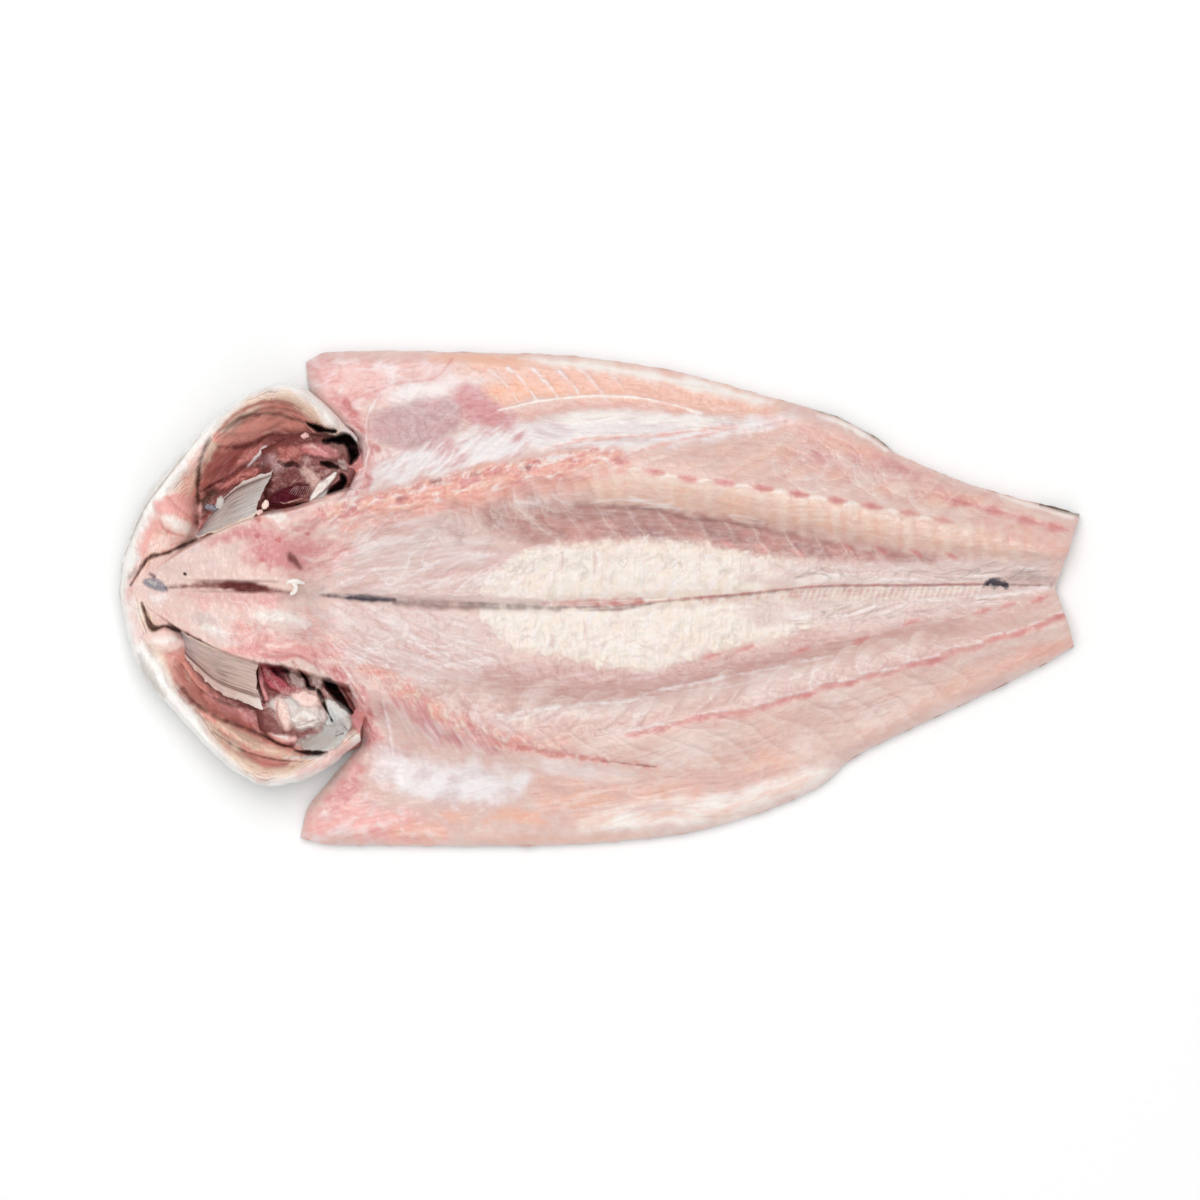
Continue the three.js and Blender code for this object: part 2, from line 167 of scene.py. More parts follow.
def steps(name, description, default):
    return IntProperty(name=name, description=description, default=default)


def length(name, description, default):
    return FloatProperty(name=name, description=description, default=default, unit="LENGTH")


def power(name, description, default):
    return FloatProperty(name=name, description=description, default=default, unit="POWER")


class MeagreColours(bpy.types.PropertyGroup):
    """The paint of the fish, by the part or tissue that shows it, with the painted shade, shadow and
    highlights laid over it.
    """

    flesh: tint("Flesh", "Pale pink muscle", 224, 190, 180)
    grey_flesh: tint("Grey flesh", "Fibrous muscle behind the skull", 221, 197, 190)
    fat: tint("Fat", "White fat along the seam", 243, 231, 218)
    fat_grey: tint("Grey fat", "Streaks in the fat", 208, 195, 187)
    # Partly painted shade: the far valley is painted darker where it faces away from the light and lies under
    # the ledge
    mauve_and_shade: tint("Mauve", "Bare muscle in the far valley", 184, 134, 128)
    rose: tint("Rose", "Bare muscle in the near valley", 217, 178, 172)
    ridge: tint("Ridge", "Peach band along the far ridge", 234, 197, 180)
    bone: tint("Bone", "Pale bands and beads of cut bone", 242, 219, 203)
    salmon: tint("Salmon", "Raw strip beside the neck", 236, 168, 152)
    peach: tint("Peach", "Belly flap", 240, 188, 168)
    apricot: tint("Apricot", "Rim of the far belly flap", 243, 184, 154)
    # Also used for painted highlights
    cream: tint("Cream", "Rim of the near belly flap", 252, 243, 236)
    lilac: tint("Lilac", "Membrane over the belly cavity", 196, 158, 160)
    orchid: tint("Orchid", "Pink seen through the membrane", 208, 140, 143)
    dusk: tint("Dusk", "Shadow under the far ledge", 150, 108, 106)
    # Also used for painted highlights
    pearl: tint("Pearl", "White membrane", 245, 238, 238)
    # Also the painted highlight over the back half of each flake and on the torn film
    septum: tint("Septum", "White lines between the flakes of muscle", 246, 232, 224)
    blood: tint("Blood", "Red marks of cut vessels", 196, 100, 98)
    # Also the painted shade along the foot of the far gill cover's inner wall
    dark_blood_and_shade: tint("Dark blood", "Deep red of slits and pits", 112, 44, 44)
    collar: tint("Collar", "Pink of the two collars", 238, 190, 184)
    collar_red: tint("Collar red", "Red patches of the collars", 216, 143, 143)
    seam: tint("Seam", "Shadow line in the middle", 120, 96, 92)
    navy: tint("Navy", "Blue-black start of the seam", 70, 66, 80)
    skin: tint("Skin", "Grey skin seen at the edges", 150, 138, 124)
    skin_silver: tint("Silver skin", "Skin on the underside", 186, 186, 182)
    skin_back: tint("Back skin", "Dark skin along the back", 96, 96, 96)
    rim: tint("Rim", "White skin round the gill covers", 255, 251, 246)
    # Also a painted highlight on the tongue and painted shade below the grey throat lump
    rim_grey: tint("Grey rim", "Folds in the skin of the head", 201, 195, 188)
    wall_brown: tint("Brown wall", "Inner wall of a gill cover", 184, 102, 94)
    wall_orange: tint("Orange wall", "Orange streaks of a gill cover", 255, 176, 160)
    wall_peach: tint("Peach wall", "Pale streaks of a gill cover", 255, 226, 202)
    iris: tint("Iris", "Ring of an eye", 170, 150, 96)
    # Also the painted shadow in the gap between the far jaw, the gill cover and the plate's front end
    dark_streak_and_shade: tint("Dark wall", "Brown streaks of a gill cover", 92, 56, 48)
    cavity: tint("Cavity", "Floor of a gill chamber", 138, 84, 82)
    # Near-black painted shadow in the deepest gaps, cracks and slits of the gill chambers; also the black of
    # the pupils
    void: tint("Void", "Deepest part of a gill chamber", 16, 9, 9)
    skull: tint("Skull", "Cream pink base of the skull", 238, 207, 198)
    skull_pink: tint("Pink skull", "Raw edge of the skull's base", 244, 178, 170)
    tongue: tint("Tongue", "Blue-grey tip of the tongue", 137, 131, 142)
    jaw: tint("Jaw", "Jaw muscle", 255, 222, 212)
    plate: tint("Plate", "Striped plate in a gill chamber", 184, 162, 154)
    plate_rim: tint("Plate rim", "Pale rim of a plate", 228, 202, 190)
    gill: tint("Gill", "Gill arch", 92, 8, 34)
    gill_pink: tint("Pink gill", "Paler gill of the near chamber", 176, 76, 88)
    filament: tint("Filament", "Pale gill filaments", 228, 190, 180)
    throat: tint("Throat", "White lump of throat tissue", 243, 234, 228)
    throat_grey: tint("Grey throat", "Grey lump of throat tissue", 204, 205, 203)


class MeagreSizes(bpy.types.PropertyGroup):
    """Mesh steps and small sizes of the dressed fish."""

    flesh_along: steps("Flesh along", "Steps of a piece of flesh to the tail", 400)
    flesh_across: steps("Flesh across", "Steps of a piece of flesh to its edge", 230)
    skin_along: steps("Skin along", "Steps of the skin to the tail", 240)
    skin_across: steps("Skin across", "Steps of the skin across", 160)
    head_along: steps("Head along", "Steps of a part of the head to the neck", 230)
    head_across: steps("Head across", "Steps across a half of the head", 170)
    skin_depth: length("Skin depth", "Height of the slab of skin", 3 * MM)
    eye_radius: length("Eye radius", "Half width of an eye", 6 * MM)


class MeagreStage(bpy.types.PropertyGroup):
    """The floor, lights and camera."""

    camera_height: length("Camera height", "Camera above the table", 3.0)
    floor_colour: tint("Floor", "Plain pale floor", 255, 255, 255)
    key_power: power("Key", "Light from the far side", 29)
    fill_power: power("Fill", "Light from the near side", 7)
    sky: FloatProperty(name="Sky", description="Strength of the even light", default=0.5)


# Curves, distances and noise on arrays of points


def smooth(t):
    """0 below 0, 1 above 1, and an even rise between."""
    t = np.clip(t, 0, 1)
    return t * t * (3 - 2 * t)


def mix(a, b, t):
    return a + (b - a) * t


def curve(knots, values, x):
    """A smooth line of values against knots, which may differ from point to point."""
    x = np.atleast_1d(np.asarray(x, float))
    spread = lambda table: np.broadcast_to(np.reshape(table, (len(table), -1)), (len(table), x.size))
    xs, ys = spread(np.asarray(knots, float)), spread(np.asarray(values, float))
    slope = np.empty_like(ys)
    slope[1:-1] = (ys[2:] - ys[:-2]) / (xs[2:] - xs[:-2])
    slope[[0, -1]] = (ys[[1, -1]] - ys[[0, -2]]) / (xs[[1, -1]] - xs[[0, -2]])
    i = np.clip((x >= xs).sum(0) - 1, 0, len(xs) - 2)
    pick = lambda table, step: np.take_along_axis(table, (i + step)[None], 0)[0]
    span = pick(xs, 1) - pick(xs, 0)
    t = np.clip((x - pick(xs, 0)) / span, 0, 1)
    rise = pick(ys, 0) * (2 * t**3 - 3 * t**2 + 1) + pick(ys, 1) * (3 * t**2 - 2 * t**3)
    return rise + span * (pick(slope, 0) * (t**3 - 2 * t**2 + t) + pick(slope, 1) * (t**3 - t**2))


def along(table, x):
    """The value of a table of (x, value) at each x."""
    knots, values = zip(*table)
    return curve(knots, values, x)


def path(points, count):
    """Evenly spaced points on a smooth line through a few points, with any further columns."""
    points = np.asarray(points, float)
    steps = np.linalg.norm(np.diff(points[:, :2], axis=0), axis=1)
    lengths = np.concatenate([[0], np.cumsum(steps)])
    at = np.linspace(0, lengths[-1], count)
    return np.stack([curve(lengths, column, at) for column in points.T], axis=1)


def gap(line, x, y):
    """The distance in plan from each point to a line, less the line's own half width."""
    best = np.full(np.shape(x), np.inf)
    for a, b in zip(line[:-1], line[1:]):
        dx, dy = b[:2] - a[:2]
        t = np.clip(((x - a[0]) * dx + (y - a[1]) * dy) / max(dx * dx + dy * dy, 1e-9), 0, 1)
        near = np.hypot(x - a[0] - t * dx, y - a[1] - t * dy)
        if len(a) > 2:
            near = near - mix(a[2], b[2], t)
        best = np.minimum(best, near)
    return best


def rounded(distance, run):
    """A quarter round: 0 at an edge, 1 from the given run inwards."""
    t = 1 - np.clip(distance / run, 0, 1)
    return np.sqrt(1 - t * t)


def soft_max(a, b, blend):
    """The higher of two heights, rounded where they are within a blend of each other."""
    t = np.maximum(blend - np.abs(a - b), 0) / blend
    return np.maximum(a, b) + t * t * blend / 4


NOISE_CELLS = 97
NOISE_GAIN = 1.5
RIPPLES = ((1, 1), (0.5, 2.1), (0.25, 4.3))  # share and fineness of each wave


def noise(u, v, grain, seed=0):
    """Even random waves between -1 and 1, about one grain wide."""
    turn = np.random.default_rng(seed).uniform(0, 2 * np.pi, (NOISE_CELLS, NOISE_CELLS))
    u, v = u / grain, v / grain
    i, j = np.floor(u).astype(int), np.floor(v).astype(int)

    def corner(di, dj):
        angle = turn[(i + di) % NOISE_CELLS, (j + dj) % NOISE_CELLS]
        return np.cos(angle) * (u - i - di) + np.sin(angle) * (v - j - dj)

    low = mix(corner(0, 0), corner(1, 0), smooth(u - i))
    high = mix(corner(0, 1), corner(1, 1), smooth(u - i))
    return NOISE_GAIN * mix(low, high, smooth(v - j))


def ripple(u, v, grain, seed=0):
    """Noise with two finer waves on it."""
    waves = enumerate(RIPPLES, seed)
    return sum(share * noise(u, v, grain / finer, wave_seed) for wave_seed, (share, finer) in waves)


def waves(table, x, y):
    """Fine unevenness from a table of (height, grain, seed)."""
    return sum(height * ripple(x, y, grain, seed) for height, grain, seed in table)


def turned(u, v, angle, stretch):
    """Picture coordinates along and across an angle, squeezed along it."""
    turn = math.radians(angle)
    return (u * math.cos(turn) - v * math.sin(turn)) / stretch, u * math.sin(turn) + v * math.cos(turn)


# Painting

GRAIN_BEND = {"reach": 9, "grain": 70, "seed": 17}
FIELD_EDGE = {"share": 0.25, "grain": 12}
# Webs and knobs: share and fineness of their finer wave, then how much of it the paint shows
WEB = {"fine": 0.25, "finer": 2.1, "shown": 0.65, "breaks": 2.6}
KNOB = {"fine": 0.4, "finer": 3, "contrast": 1.8, "deep": 0.2, "pale": 0.15}
# Flaps of torn film, with the grain and the lip's place and half width as shares of a flap's radius
FLAP = {"sizes": (0.7, 1.4), "stretch": 1.4, "turn": 18, "ease": 0.2, "tilt": 0.6, "uneven": 0.1}
FLAP_GRAIN = 0.8
FLAP_LIP = {"place": 0.93, "half_width": 0.08, "strengths": (0.3, 0.9)}
# Strengths of the painted shade at a flap's back and the painted highlight over its front
FLAP_PAINT = {"hollow": 0.7, "lip": 0.45}
DAB_EDGE = {"share": 0.3, "grain": 9}
MARK_GRAIN = 10
LINE_STEPS = 5  # points on a line for each that is given
EDGE_SEEDS = 89
PATCH_CONTRAST = 0.9
MARKS = ("fat", "flakes", "dull", "fibres", "fibre_along", "fibre_across")


class Canvas:
    """Colour, relief and marks on a surface, laid on in the photograph's pixels."""

    def __init__(self, x, y, palette, ground):
        self.u = x / PIXEL + PHOTO_ORIGIN[0]
        self.v = PHOTO_ORIGIN[1] - y / PIXEL
        self.palette = palette
        self.tone = np.tile(np.array(getattr(palette, ground)), (len(x), 1))
        self.lift = np.zeros(len(x))
        self.marks = {name: np.zeros(len(x)) for name in MARKS}

    def lay(self, colour, mask, where=slice(None)):
        """Mixes a colour in by a mask."""
        paint = np.array(getattr(self.palette, colour))
        self.tone[where] = mix(self.tone[where], paint, np.clip(mask, 0, 1)[:, None])

    def cover(self, area, soft, ragged, grain):
        """The points under a named area or a line of (u, v, half width), and how far each is covered."""
        line = np.asarray(AREAS[area] if isinstance(area, str) else area, float)
        if len(line) > 2:
            line = path(line, LINE_STEPS * len(line))
        reach = line[:, 2].max() + soft + 2 * ragged
        low, high = line.min(0) - reach, line.max(0) + reach
        inside = (self.u > low[0]) & (self.u < high[0]) & (self.v > low[1]) & (self.v < high[1])
        where = np.nonzero(inside)[0]
        u, v = self.u[where], self.v[where]
        edge = gap(line, u, v) + ragged * ripple(u, v, grain, int(line[0].sum()) % EDGE_SEEDS)
        return where, smooth(0.5 - edge / soft)

    def field(self, area, soft, angle, stretch):
        """The points under an area, their cover, and bending coordinates along and across an angle."""
        where, mask = self.cover(area, soft, soft * FIELD_EDGE["share"], FIELD_EDGE["grain"])
        u, v = self.u[where], self.v[where]
        bend = GRAIN_BEND["reach"] * noise(u, v, GRAIN_BEND["grain"], GRAIN_BEND["seed"])
        return where, mask, *turned(u, v + bend, angle, stretch)

    def spread(self, colour, mask, strength, lift, where):
        """Mixes a colour in by a mask, and raises or sinks the surface with it."""
        self.lay(colour, mask * strength, where)
        self.lift[where] += mask * lift

    def stroke(self, colour, area, strength=1.0, soft=8, ragged=4, lift=0.0, grain=14):
        """One stroke with uneven edges."""
        where, mask = self.cover(area, soft, ragged, grain)
        self.spread(colour, mask, strength, lift, where)
        # Strokes of the near-black painted shadow make the surface dull; other strokes take that back
        dull = self.marks["dull"]
        dull[where] = mix(dull[where], colour == "void", mask * strength)

    def strokes(self, table):
        for row in table:
            self.stroke(*row)

    def dabs(self, table):
        """Named strokes, each as ragged as a share of its softness."""
        for colour, strength, soft, lift, line in table.values():
            self.stroke(colour, line, strength, soft, DAB_EDGE["share"] * soft, lift, DAB_EDGE["grain"])

    def mark(self, name, area, strength, soft=10, ragged=4):
        """Raises one of the marks that the shader reads."""
        where, mask = self.cover(area, soft, ragged, MARK_GRAIN)
        self.marks[name][where] = np.maximum(self.marks[name][where], mask * strength)

    def cloud(self, colour, area, strength, grain, angle, stretch, share, lift=0.0, soft=16, seed=0):
        """Soft uneven patches over a share of an area."""
        where, mask, a, b = self.field(area, soft, angle, stretch)
        patch = mask * smooth(share + PATCH_CONTRAST * ripple(a, b, grain, seed))
        self.spread(colour, patch, strength, lift, where)

    def web(self, colour, area, strength, grain, angle, stretch, thin, lift=0.0, soft=16, seed=0):
        """Thin wandering lines over an area."""
        where, mask, a, b = self.field(area, soft, angle, stretch)
        wave = noise(a, b, grain, seed) + WEB["fine"] * noise(a, b, grain / WEB["finer"], seed + 1)
        line = smooth(1 - np.abs(wave) / thin)
        line *= mask * smooth(WEB["shown"] + PATCH_CONTRAST * noise(a, b, WEB["breaks"] * grain, seed + 7))
        self.spread(colour, line, strength, lift, where)

    def scales(self, lip, hollow, area, strength, size, count, facing, lift=0.0, seed=0):
        """Overlapping flaps of torn film, each with a pale lip and a painted highlight on its front side and
        painted shade at its back.
        """
        draw = np.random.default_rng(seed)
        places = path(AREAS[area], 4 * count)[draw.permutation(4 * count)[:count]]
        places[:, 1] += places[:, 2] * draw.uniform(-1, 1, count)
        for u, v, _ in places[np.argsort(-turned(places[:, 0], places[:, 1], facing, 1)[0])]:
            radius = size * draw.uniform(*FLAP["sizes"])
            where = np.nonzero(np.maximum(np.abs(self.u - u), np.abs(self.v - v)) < 2 * radius)[0]
            a, b = turned(self.u[where] - u, self.v[where] - v, facing + draw.normal(0, FLAP["turn"]), 1)
            uneven = FLAP["uneven"] * ripple(self.u[where], self.v[where], FLAP_GRAIN * radius, seed)
            reach = np.hypot(a, b / FLAP["stretch"]) / radius + uneven
            front = 0.5 + 0.5 * np.clip(a / radius, -1, 1)
            inside = smooth((1 - reach) / FLAP["ease"])
            edge = smooth(1 - np.abs(reach - FLAP_LIP["place"]) / FLAP_LIP["half_width"])
            edge *= smooth(2.4 * front - 1.1)
            # Painted shade at the flap's back, a painted highlight over its front, then its pale lip
            self.lay(hollow, FLAP_PAINT["hollow"] * strength * inside * smooth(1 - 1.5 * front), where)
            self.lay(lip, FLAP_PAINT["lip"] * strength * inside * smooth(1.6 * front - 0.6), where)
            self.lay(lip, strength * edge * draw.uniform(*FLAP_LIP["strengths"]), where)
            self.lift[where] += lift * inside * (front - FLAP["tilt"])

    def fibres(self, area, strength, angle, soft=24):
        """Fine streaks along an angle, for the shader to draw."""
        where, mask, lengthwise, crosswise = self.field(area, soft, angle, 1)
        self.set_fibres(strength * mask, lengthwise, crosswise, where)

    def set_fibres(self, strength, lengthwise, crosswise, where=slice(None)):
        stronger = strength > self.marks["fibres"][where]
        for name, values in (("fibres", strength), ("fibre_along", lengthwise), ("fibre_across", crosswise)):
            self.marks[name][where] = np.where(stronger, values, self.marks[name][where])

    def knobs(self, pale, deep, area, strength, size, angle, stretch, lift, soft, seed):
        """Raised lumps painted pale on top, partly as a painted highlight, with a deeper tone between them.
        """
        where, mask, a, b = self.field(area, soft, angle, stretch)
        swell = ripple(a, b, size, seed) + KNOB["fine"] * ripple(a, b, size / KNOB["finer"], seed + 3)
        self.lay(deep, mask * strength * smooth(-KNOB["contrast"] * swell - KNOB["deep"]), where)
        self.lay(pale, mask * strength * smooth(KNOB["contrast"] * swell - KNOB["pale"]), where)
        self.lift[where] += lift * mask * swell


# Shapes of the body and head


def flesh_height(x, y, edge_distance):
    """The body's upper surface before its edges are rounded."""
    share = np.clip((x - NECK_X) / (TAIL_X - NECK_X), 0, 1)
    side = np.abs(y - along(SEAM_Y, x))
    valley, ridge = along(VALLEY_OFFSET, x), along(RIDGE_OFFSET, x)
    edge = np.maximum(side + edge_distance, ridge + FLAP_INSET + FLANK_ROOM)
    ledge = mix(valley, ridge, LEDGE["share"])
    fat_edge = valley * FAT_SHARE
    seam = 0 * x
    knots = (seam, seam + 2 * SEAM_HALF_WIDTH, fat_edge, valley, ledge, ridge, (ridge + edge) / 2, edge)
    fat, low, high = (along(table, share) for table in (FAT_HEIGHT, VALLEY_HEIGHT, RIDGE_HEIGHT))
    values = (
        along(SEAM_HEIGHT, share), fat - SEAM_STEP, fat, low, mix(low, high, LEDGE["rise"]), high,
        along(FLANK_HEIGHT, share), along(FLAP_HEIGHT, share),
    )
    return curve(np.array(knots), np.array(values), side)


EDGE_STEPS = 120


def body_edges():
    return [path(line, EDGE_STEPS) for line in (FAR_EDGE, NEAR_EDGE, FAR_COLLAR, NEAR_COLLAR)]


def tail_cut():
    notch = (TAIL_NOTCH_X, along(SEAM_Y, TAIL_NOTCH_X)[0])
    return np.array([FAR_EDGE[-1], notch, NEAR_EDGE[-1]])


def edge_gap(x, y):
    return np.min([gap(line, x, y) for line in body_edges()], axis=0)


def body_top(x, y):
    edge_distance = edge_gap(x, y)
    ease = TAIL_CUT_EASE * (1 - rounded(gap(tail_cut(), x, y), 2 * TAIL_CUT_EASE))
    flesh = flesh_height(x, y, edge_distance) - ease
    return mix(FLAP_EDGE_HEIGHT, flesh, rounded(edge_distance, FLAP_INSET))


def half_plan(far, s, t):
    """Plan points of one half of the body: s runs from the neck to the tail, t from the seam to the edge."""
    outer, collar, neck = (FAR_EDGE, FAR_COLLAR, FAR_NECK) if far else (NEAR_EDGE, NEAR_COLLAR, NEAR_NECK)
    seam_x = np.linspace(NECK_X, TAIL_NOTCH_X, EDGE_STEPS)
    seam = np.stack([seam_x, along(SEAM_Y, seam_x)], axis=1)
    edge = path(outer, EDGE_STEPS)
    front = path(neck + collar, EDGE_STEPS)
    tail = path((seam[-1], edge[-1]), EDGE_STEPS)
    return blend_edges(seam, edge, front, tail, s, t)


def at_share(line, share):
    """Points at shares of a line of evenly spaced points."""
    return np.stack([np.interp(share, np.linspace(0, 1, len(line)), column) for column in line.T], axis=1)


def blend_edges(inner, outer, front, back, s, t):
    """A smooth patch between four edges."""
    s1, t1 = s[:, None], t[:, None]
    corners = mix(mix(inner[0], inner[-1], s1), mix(outer[0], outer[-1], s1), t1)
    lengthwise = mix(at_share(inner, s), at_share(outer, s), t1)
    return lengthwise + mix(at_share(front, t), at_share(back, t), s1) - corners


def skull_reach(x, y):
    """How far inside the edge of the skull's base a point lies."""
    side = y - along(SEAM_Y, x)
    return along(SKULL_HALF_WIDTH, x) + np.where(side > 0, along(SKULL_FAR_EXTRA, x), 0) - np.abs(side)


def skull_height(x, y):
    slit = SKULL_SLIT
    side = np.abs(y - along(SEAM_Y, x) - slit["offset"])
    fall = smooth(skull_reach(x, y) / SKULL_SHOULDER + 0.5)
    ends = smooth((x - slit["start"]) / slit["ease"]) * smooth((slit["end"] - x) / slit["ease"])
    return along(SKULL_HEIGHT, x) * fall - slit["depth"] * ends * smooth(2 - side / slit["half_width"])


def skull_share(x, y):
    """1 over the base of the skull, 0 beside it."""
    return smooth(skull_reach(x, y) / SKULL_SHOULDER + 0.7)


def head_gap(x, y):
    return np.min([gap(path(line, EDGE_STEPS), x, y) for line in (HEAD_FAR, HEAD_NEAR)], axis=0)


def head_top(x, y, distance):
    wall = mix(along(RIM_HEIGHT, x), along(CHAMBER_FLOOR, x), smooth((distance - RIM_INSET) / RIM_WALL))
    inside = soft_max(wall, skull_height(x, y), SKULL_BLEND)
    for at, radius, height in JAW_MUSCLES:
        reach = ((x - at[0]) / radius[0]) ** 2 + ((y - at[1]) / radius[1]) ** 2
        inside = soft_max(inside, height * np.sqrt(np.maximum(1 - reach, 0)), JAW_BLEND)
    return mix(along(HEAD_EDGE_HEIGHT, x), inside, rounded(distance, RIM_INSET))


def head_plan(far, s, t):
    """Plan points of half the head: s runs from the snout to the neck, t from the middle to the rim."""
    middle_x = along(HEAD_AXIS, s)
    middle = np.stack([middle_x, along(SEAM_Y, middle_x)], axis=1)
    rim = path(HEAD_FAR if far else HEAD_NEAR, 4 * EDGE_STEPS)
    return mix(middle, at_share(rim, s), t[:, None])


# Meshes


def mesh_from(bm, name):
    mesh = bpy.data.meshes.new(name)
    bm.to_mesh(mesh)
    bm.free()
    return mesh


def read_points(mesh):
    points = np.empty(len(mesh.vertices) * 3)
    mesh.vertices.foreach_get("co", points)
    return points.reshape(-1, 3)


def face_out(mesh):
    bm = bmesh.new()
    bm.from_mesh(mesh)
    bmesh.ops.recalc_face_normals(bm, faces=bm.faces)
    bm.to_mesh(mesh)
    bm.free()


def grid_slab(name, steps_along, steps_across, dense_base=False, sharp_walls=False):
    """A closed slab one unit thick over a grid from -1 to 1: its base is one face, or a grid as well."""
    bm = bmesh.new()
    bmesh.ops.create_grid(bm, x_segments=steps_along, y_segments=steps_across, size=1)
    rim = [edge for edge in bm.edges if edge.is_boundary]
    for edge in rim:
        edge.smooth = not sharp_walls or all(vert.co.y > 1 - 1e-5 for vert in edge.verts)
    if dense_base:
        made = bmesh.ops.extrude_face_region(bm, geom=bm.faces[:], use_keep_orig=True)["geom"]
    else:
        made = bmesh.ops.extrude_edge_only(bm, edges=rim)["geom"]
    low = [item for item in made if isinstance(item, bmesh.types.BMVert)]
    bmesh.ops.translate(bm, verts=low, vec=(0, 0, -1))
    if not dense_base:
        open_edges = [edge for edge in bm.edges if edge.is_boundary]
        bmesh.ops.holes_fill(bm, edges=open_edges, sides=0)
    bmesh.ops.recalc_face_normals(bm, faces=bm.faces)
    return mesh_from(bm, name)


def slab_shares(mesh):
    """The grid's two directions from 0 to 1, and which points are on the base."""
    points = read_points(mesh)
    return (points[:, 0] + 1) / 2, (points[:, 1] + 1) / 2, points[:, 2] < -0.5


def set_points(mesh, x, y, z):
    points = np.stack([x, y, z], axis=1) * MM
    mesh.vertices.foreach_set("co", points.ravel())
    mesh.update()
    face_out(mesh)


def canvas_over(mesh, palette, ground):
    """A canvas for a mesh whose points are in place."""
    x, y, _ = read_points(mesh).T / MM
    return Canvas(x, y, palette, ground)


LUMINANCE = np.array([0.2126, 0.7152, 0.0722])
DARK_TISSUE = {"level": 0.3, "dull": 0.8}


def set_paint(mesh, canvas):
    """Stores a canvas on a mesh: its tone as colours, its marks as values."""
    tone = mesh.color_attributes.new("tone", "FLOAT_COLOR", "POINT")
    rgba = np.ones((len(mesh.vertices), 4))
    rgba[:, :3] = np.clip(canvas.tone, 0, 1)
    dark = smooth(1 - canvas.tone @ LUMINANCE / DARK_TISSUE["level"])
    canvas.marks["dull"] = np.maximum(canvas.marks["dull"], DARK_TISSUE["dull"] * dark)
    tone.data.foreach_set("color", rgba.ravel())
    for name, values in canvas.marks.items():
        mesh.attributes.new(name, "FLOAT", "POINT").data.foreach_set("value", values)


def add_piece(name, mesh, canvas, material, node):
    """Paints a finished mesh and puts it in the scene, riding on the fish, in place of its frame node."""
    set_paint(mesh, canvas)
    mesh.polygons.foreach_set("use_smooth", [True] * len(mesh.polygons))
    mesh.materials.append(material)
    piece = bpy.data.objects.new(name, mesh)
    bpy.context.scene.collection.objects.link(piece)
    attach(piece, "root")
    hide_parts(node)


# Shaders


class Wire:
    """A shader socket that takes part in sums: each operator adds a Math node."""

    def __init__(self, graph, socket):
        self.graph = graph
        self.socket = socket

    def math(self, operation, first, second):
        return self.graph.node("ShaderNodeMath", {"operation": operation}, {0: first, 1: second})

    def __add__(self, other):
        return self.math("ADD", self, other)

    def __radd__(self, other):
        return self.math("ADD", other, self)

    def __sub__(self, other):
        return self.math("SUBTRACT", self, other)

    def __rsub__(self, other):
        return self.math("SUBTRACT", other, self)

    def __mul__(self, other):
        return self.math("MULTIPLY", self, other)

    def __rmul__(self, other):
        return self.math("MULTIPLY", other, self)


class Graph:
    """One node material, built from expressions."""

    def __init__(self, name):
        self.material = bpy.data.materials.new(name)
        self.material.use_nodes = True
        self.tree = self.material.node_tree
        self.tree.nodes.clear()

    def node(self, kind, settings=None, sockets=None, output=0):
        made = self.tree.nodes.new(kind)
        for key, value in (settings or {}).items():
            setattr(made, key, value)
        for key, value in (sockets or {}).items():
            if isinstance(value, Wire):
                self.tree.links.new(value.socket, made.inputs[key])
            else:
                made.inputs[key].default_value = value
        return Wire(self, made.outputs[output]) if made.outputs else None

    def attribute(self, name, output="Fac"):
        return self.node("ShaderNodeAttribute", {"attribute_name": name}, output=output)

    def coordinates(self, scale, turn):
        place = self.node("ShaderNodeTexCoord", output="Object")
        return self.node(
            "ShaderNodeMapping", {}, {"Vector": place, "Scale": scale, "Rotation": (0, 0, turn)}
        )

    def noise(self, scale, detail, stretch=(1, 1, 1), turn=0.0):
        return self.noise_at(self.coordinates(stretch, turn), scale, detail)

    def noise_at(self, place, scale, detail, rough=0.55):
        sockets = {"Vector": place, "Scale": scale, "Detail": detail, "Roughness": rough}
        return self.node("ShaderNodeTexNoise", {}, sockets, "Fac")

    def band(self, value, low, high):
        """0 below low, 1 above high, smooth between."""
        return self.node(
            "ShaderNodeMapRange", {"interpolation_type": "SMOOTHSTEP"},
            {"Value": value, "From Min": low, "From Max": high},
        )

    def mix(self, factor, first, second, blend="MIX"):
        """One colour over another."""
        settings = {"data_type": "RGBA", "blend_type": blend}
        return self.node("ShaderNodeMix", settings, {0: factor, 6: first, 7: second}, 2)

    def finish(self, colour, roughness, height, bump, reach, constants):
        """The surface itself, with its bump in metres of reach."""
        normal = self.node(
            "ShaderNodeBump", {}, {"Strength": bump, "Distance": reach, "Height": height}
        )
        sockets = {"Base Color": colour, "Roughness": roughness, "Normal": normal, **constants}
        surface = self.node("ShaderNodeBsdfPrincipled", {"subsurface_method": "RANDOM_WALK"}, sockets)
        self.node("ShaderNodeOutputMaterial", {}, {"Surface": surface})
        return self.material


def opaque(colour):
    return (*colour, 1.0)


WET_FLESH = {
    "Specular IOR Level": 0.4, "Subsurface Weight": 0.1, "Subsurface Radius": (1, 0.4, 0.25),
    "Subsurface Scale": 0.0012, "Coat Roughness": 0.14,
}
SCALY = {"Specular IOR Level": 0.6}


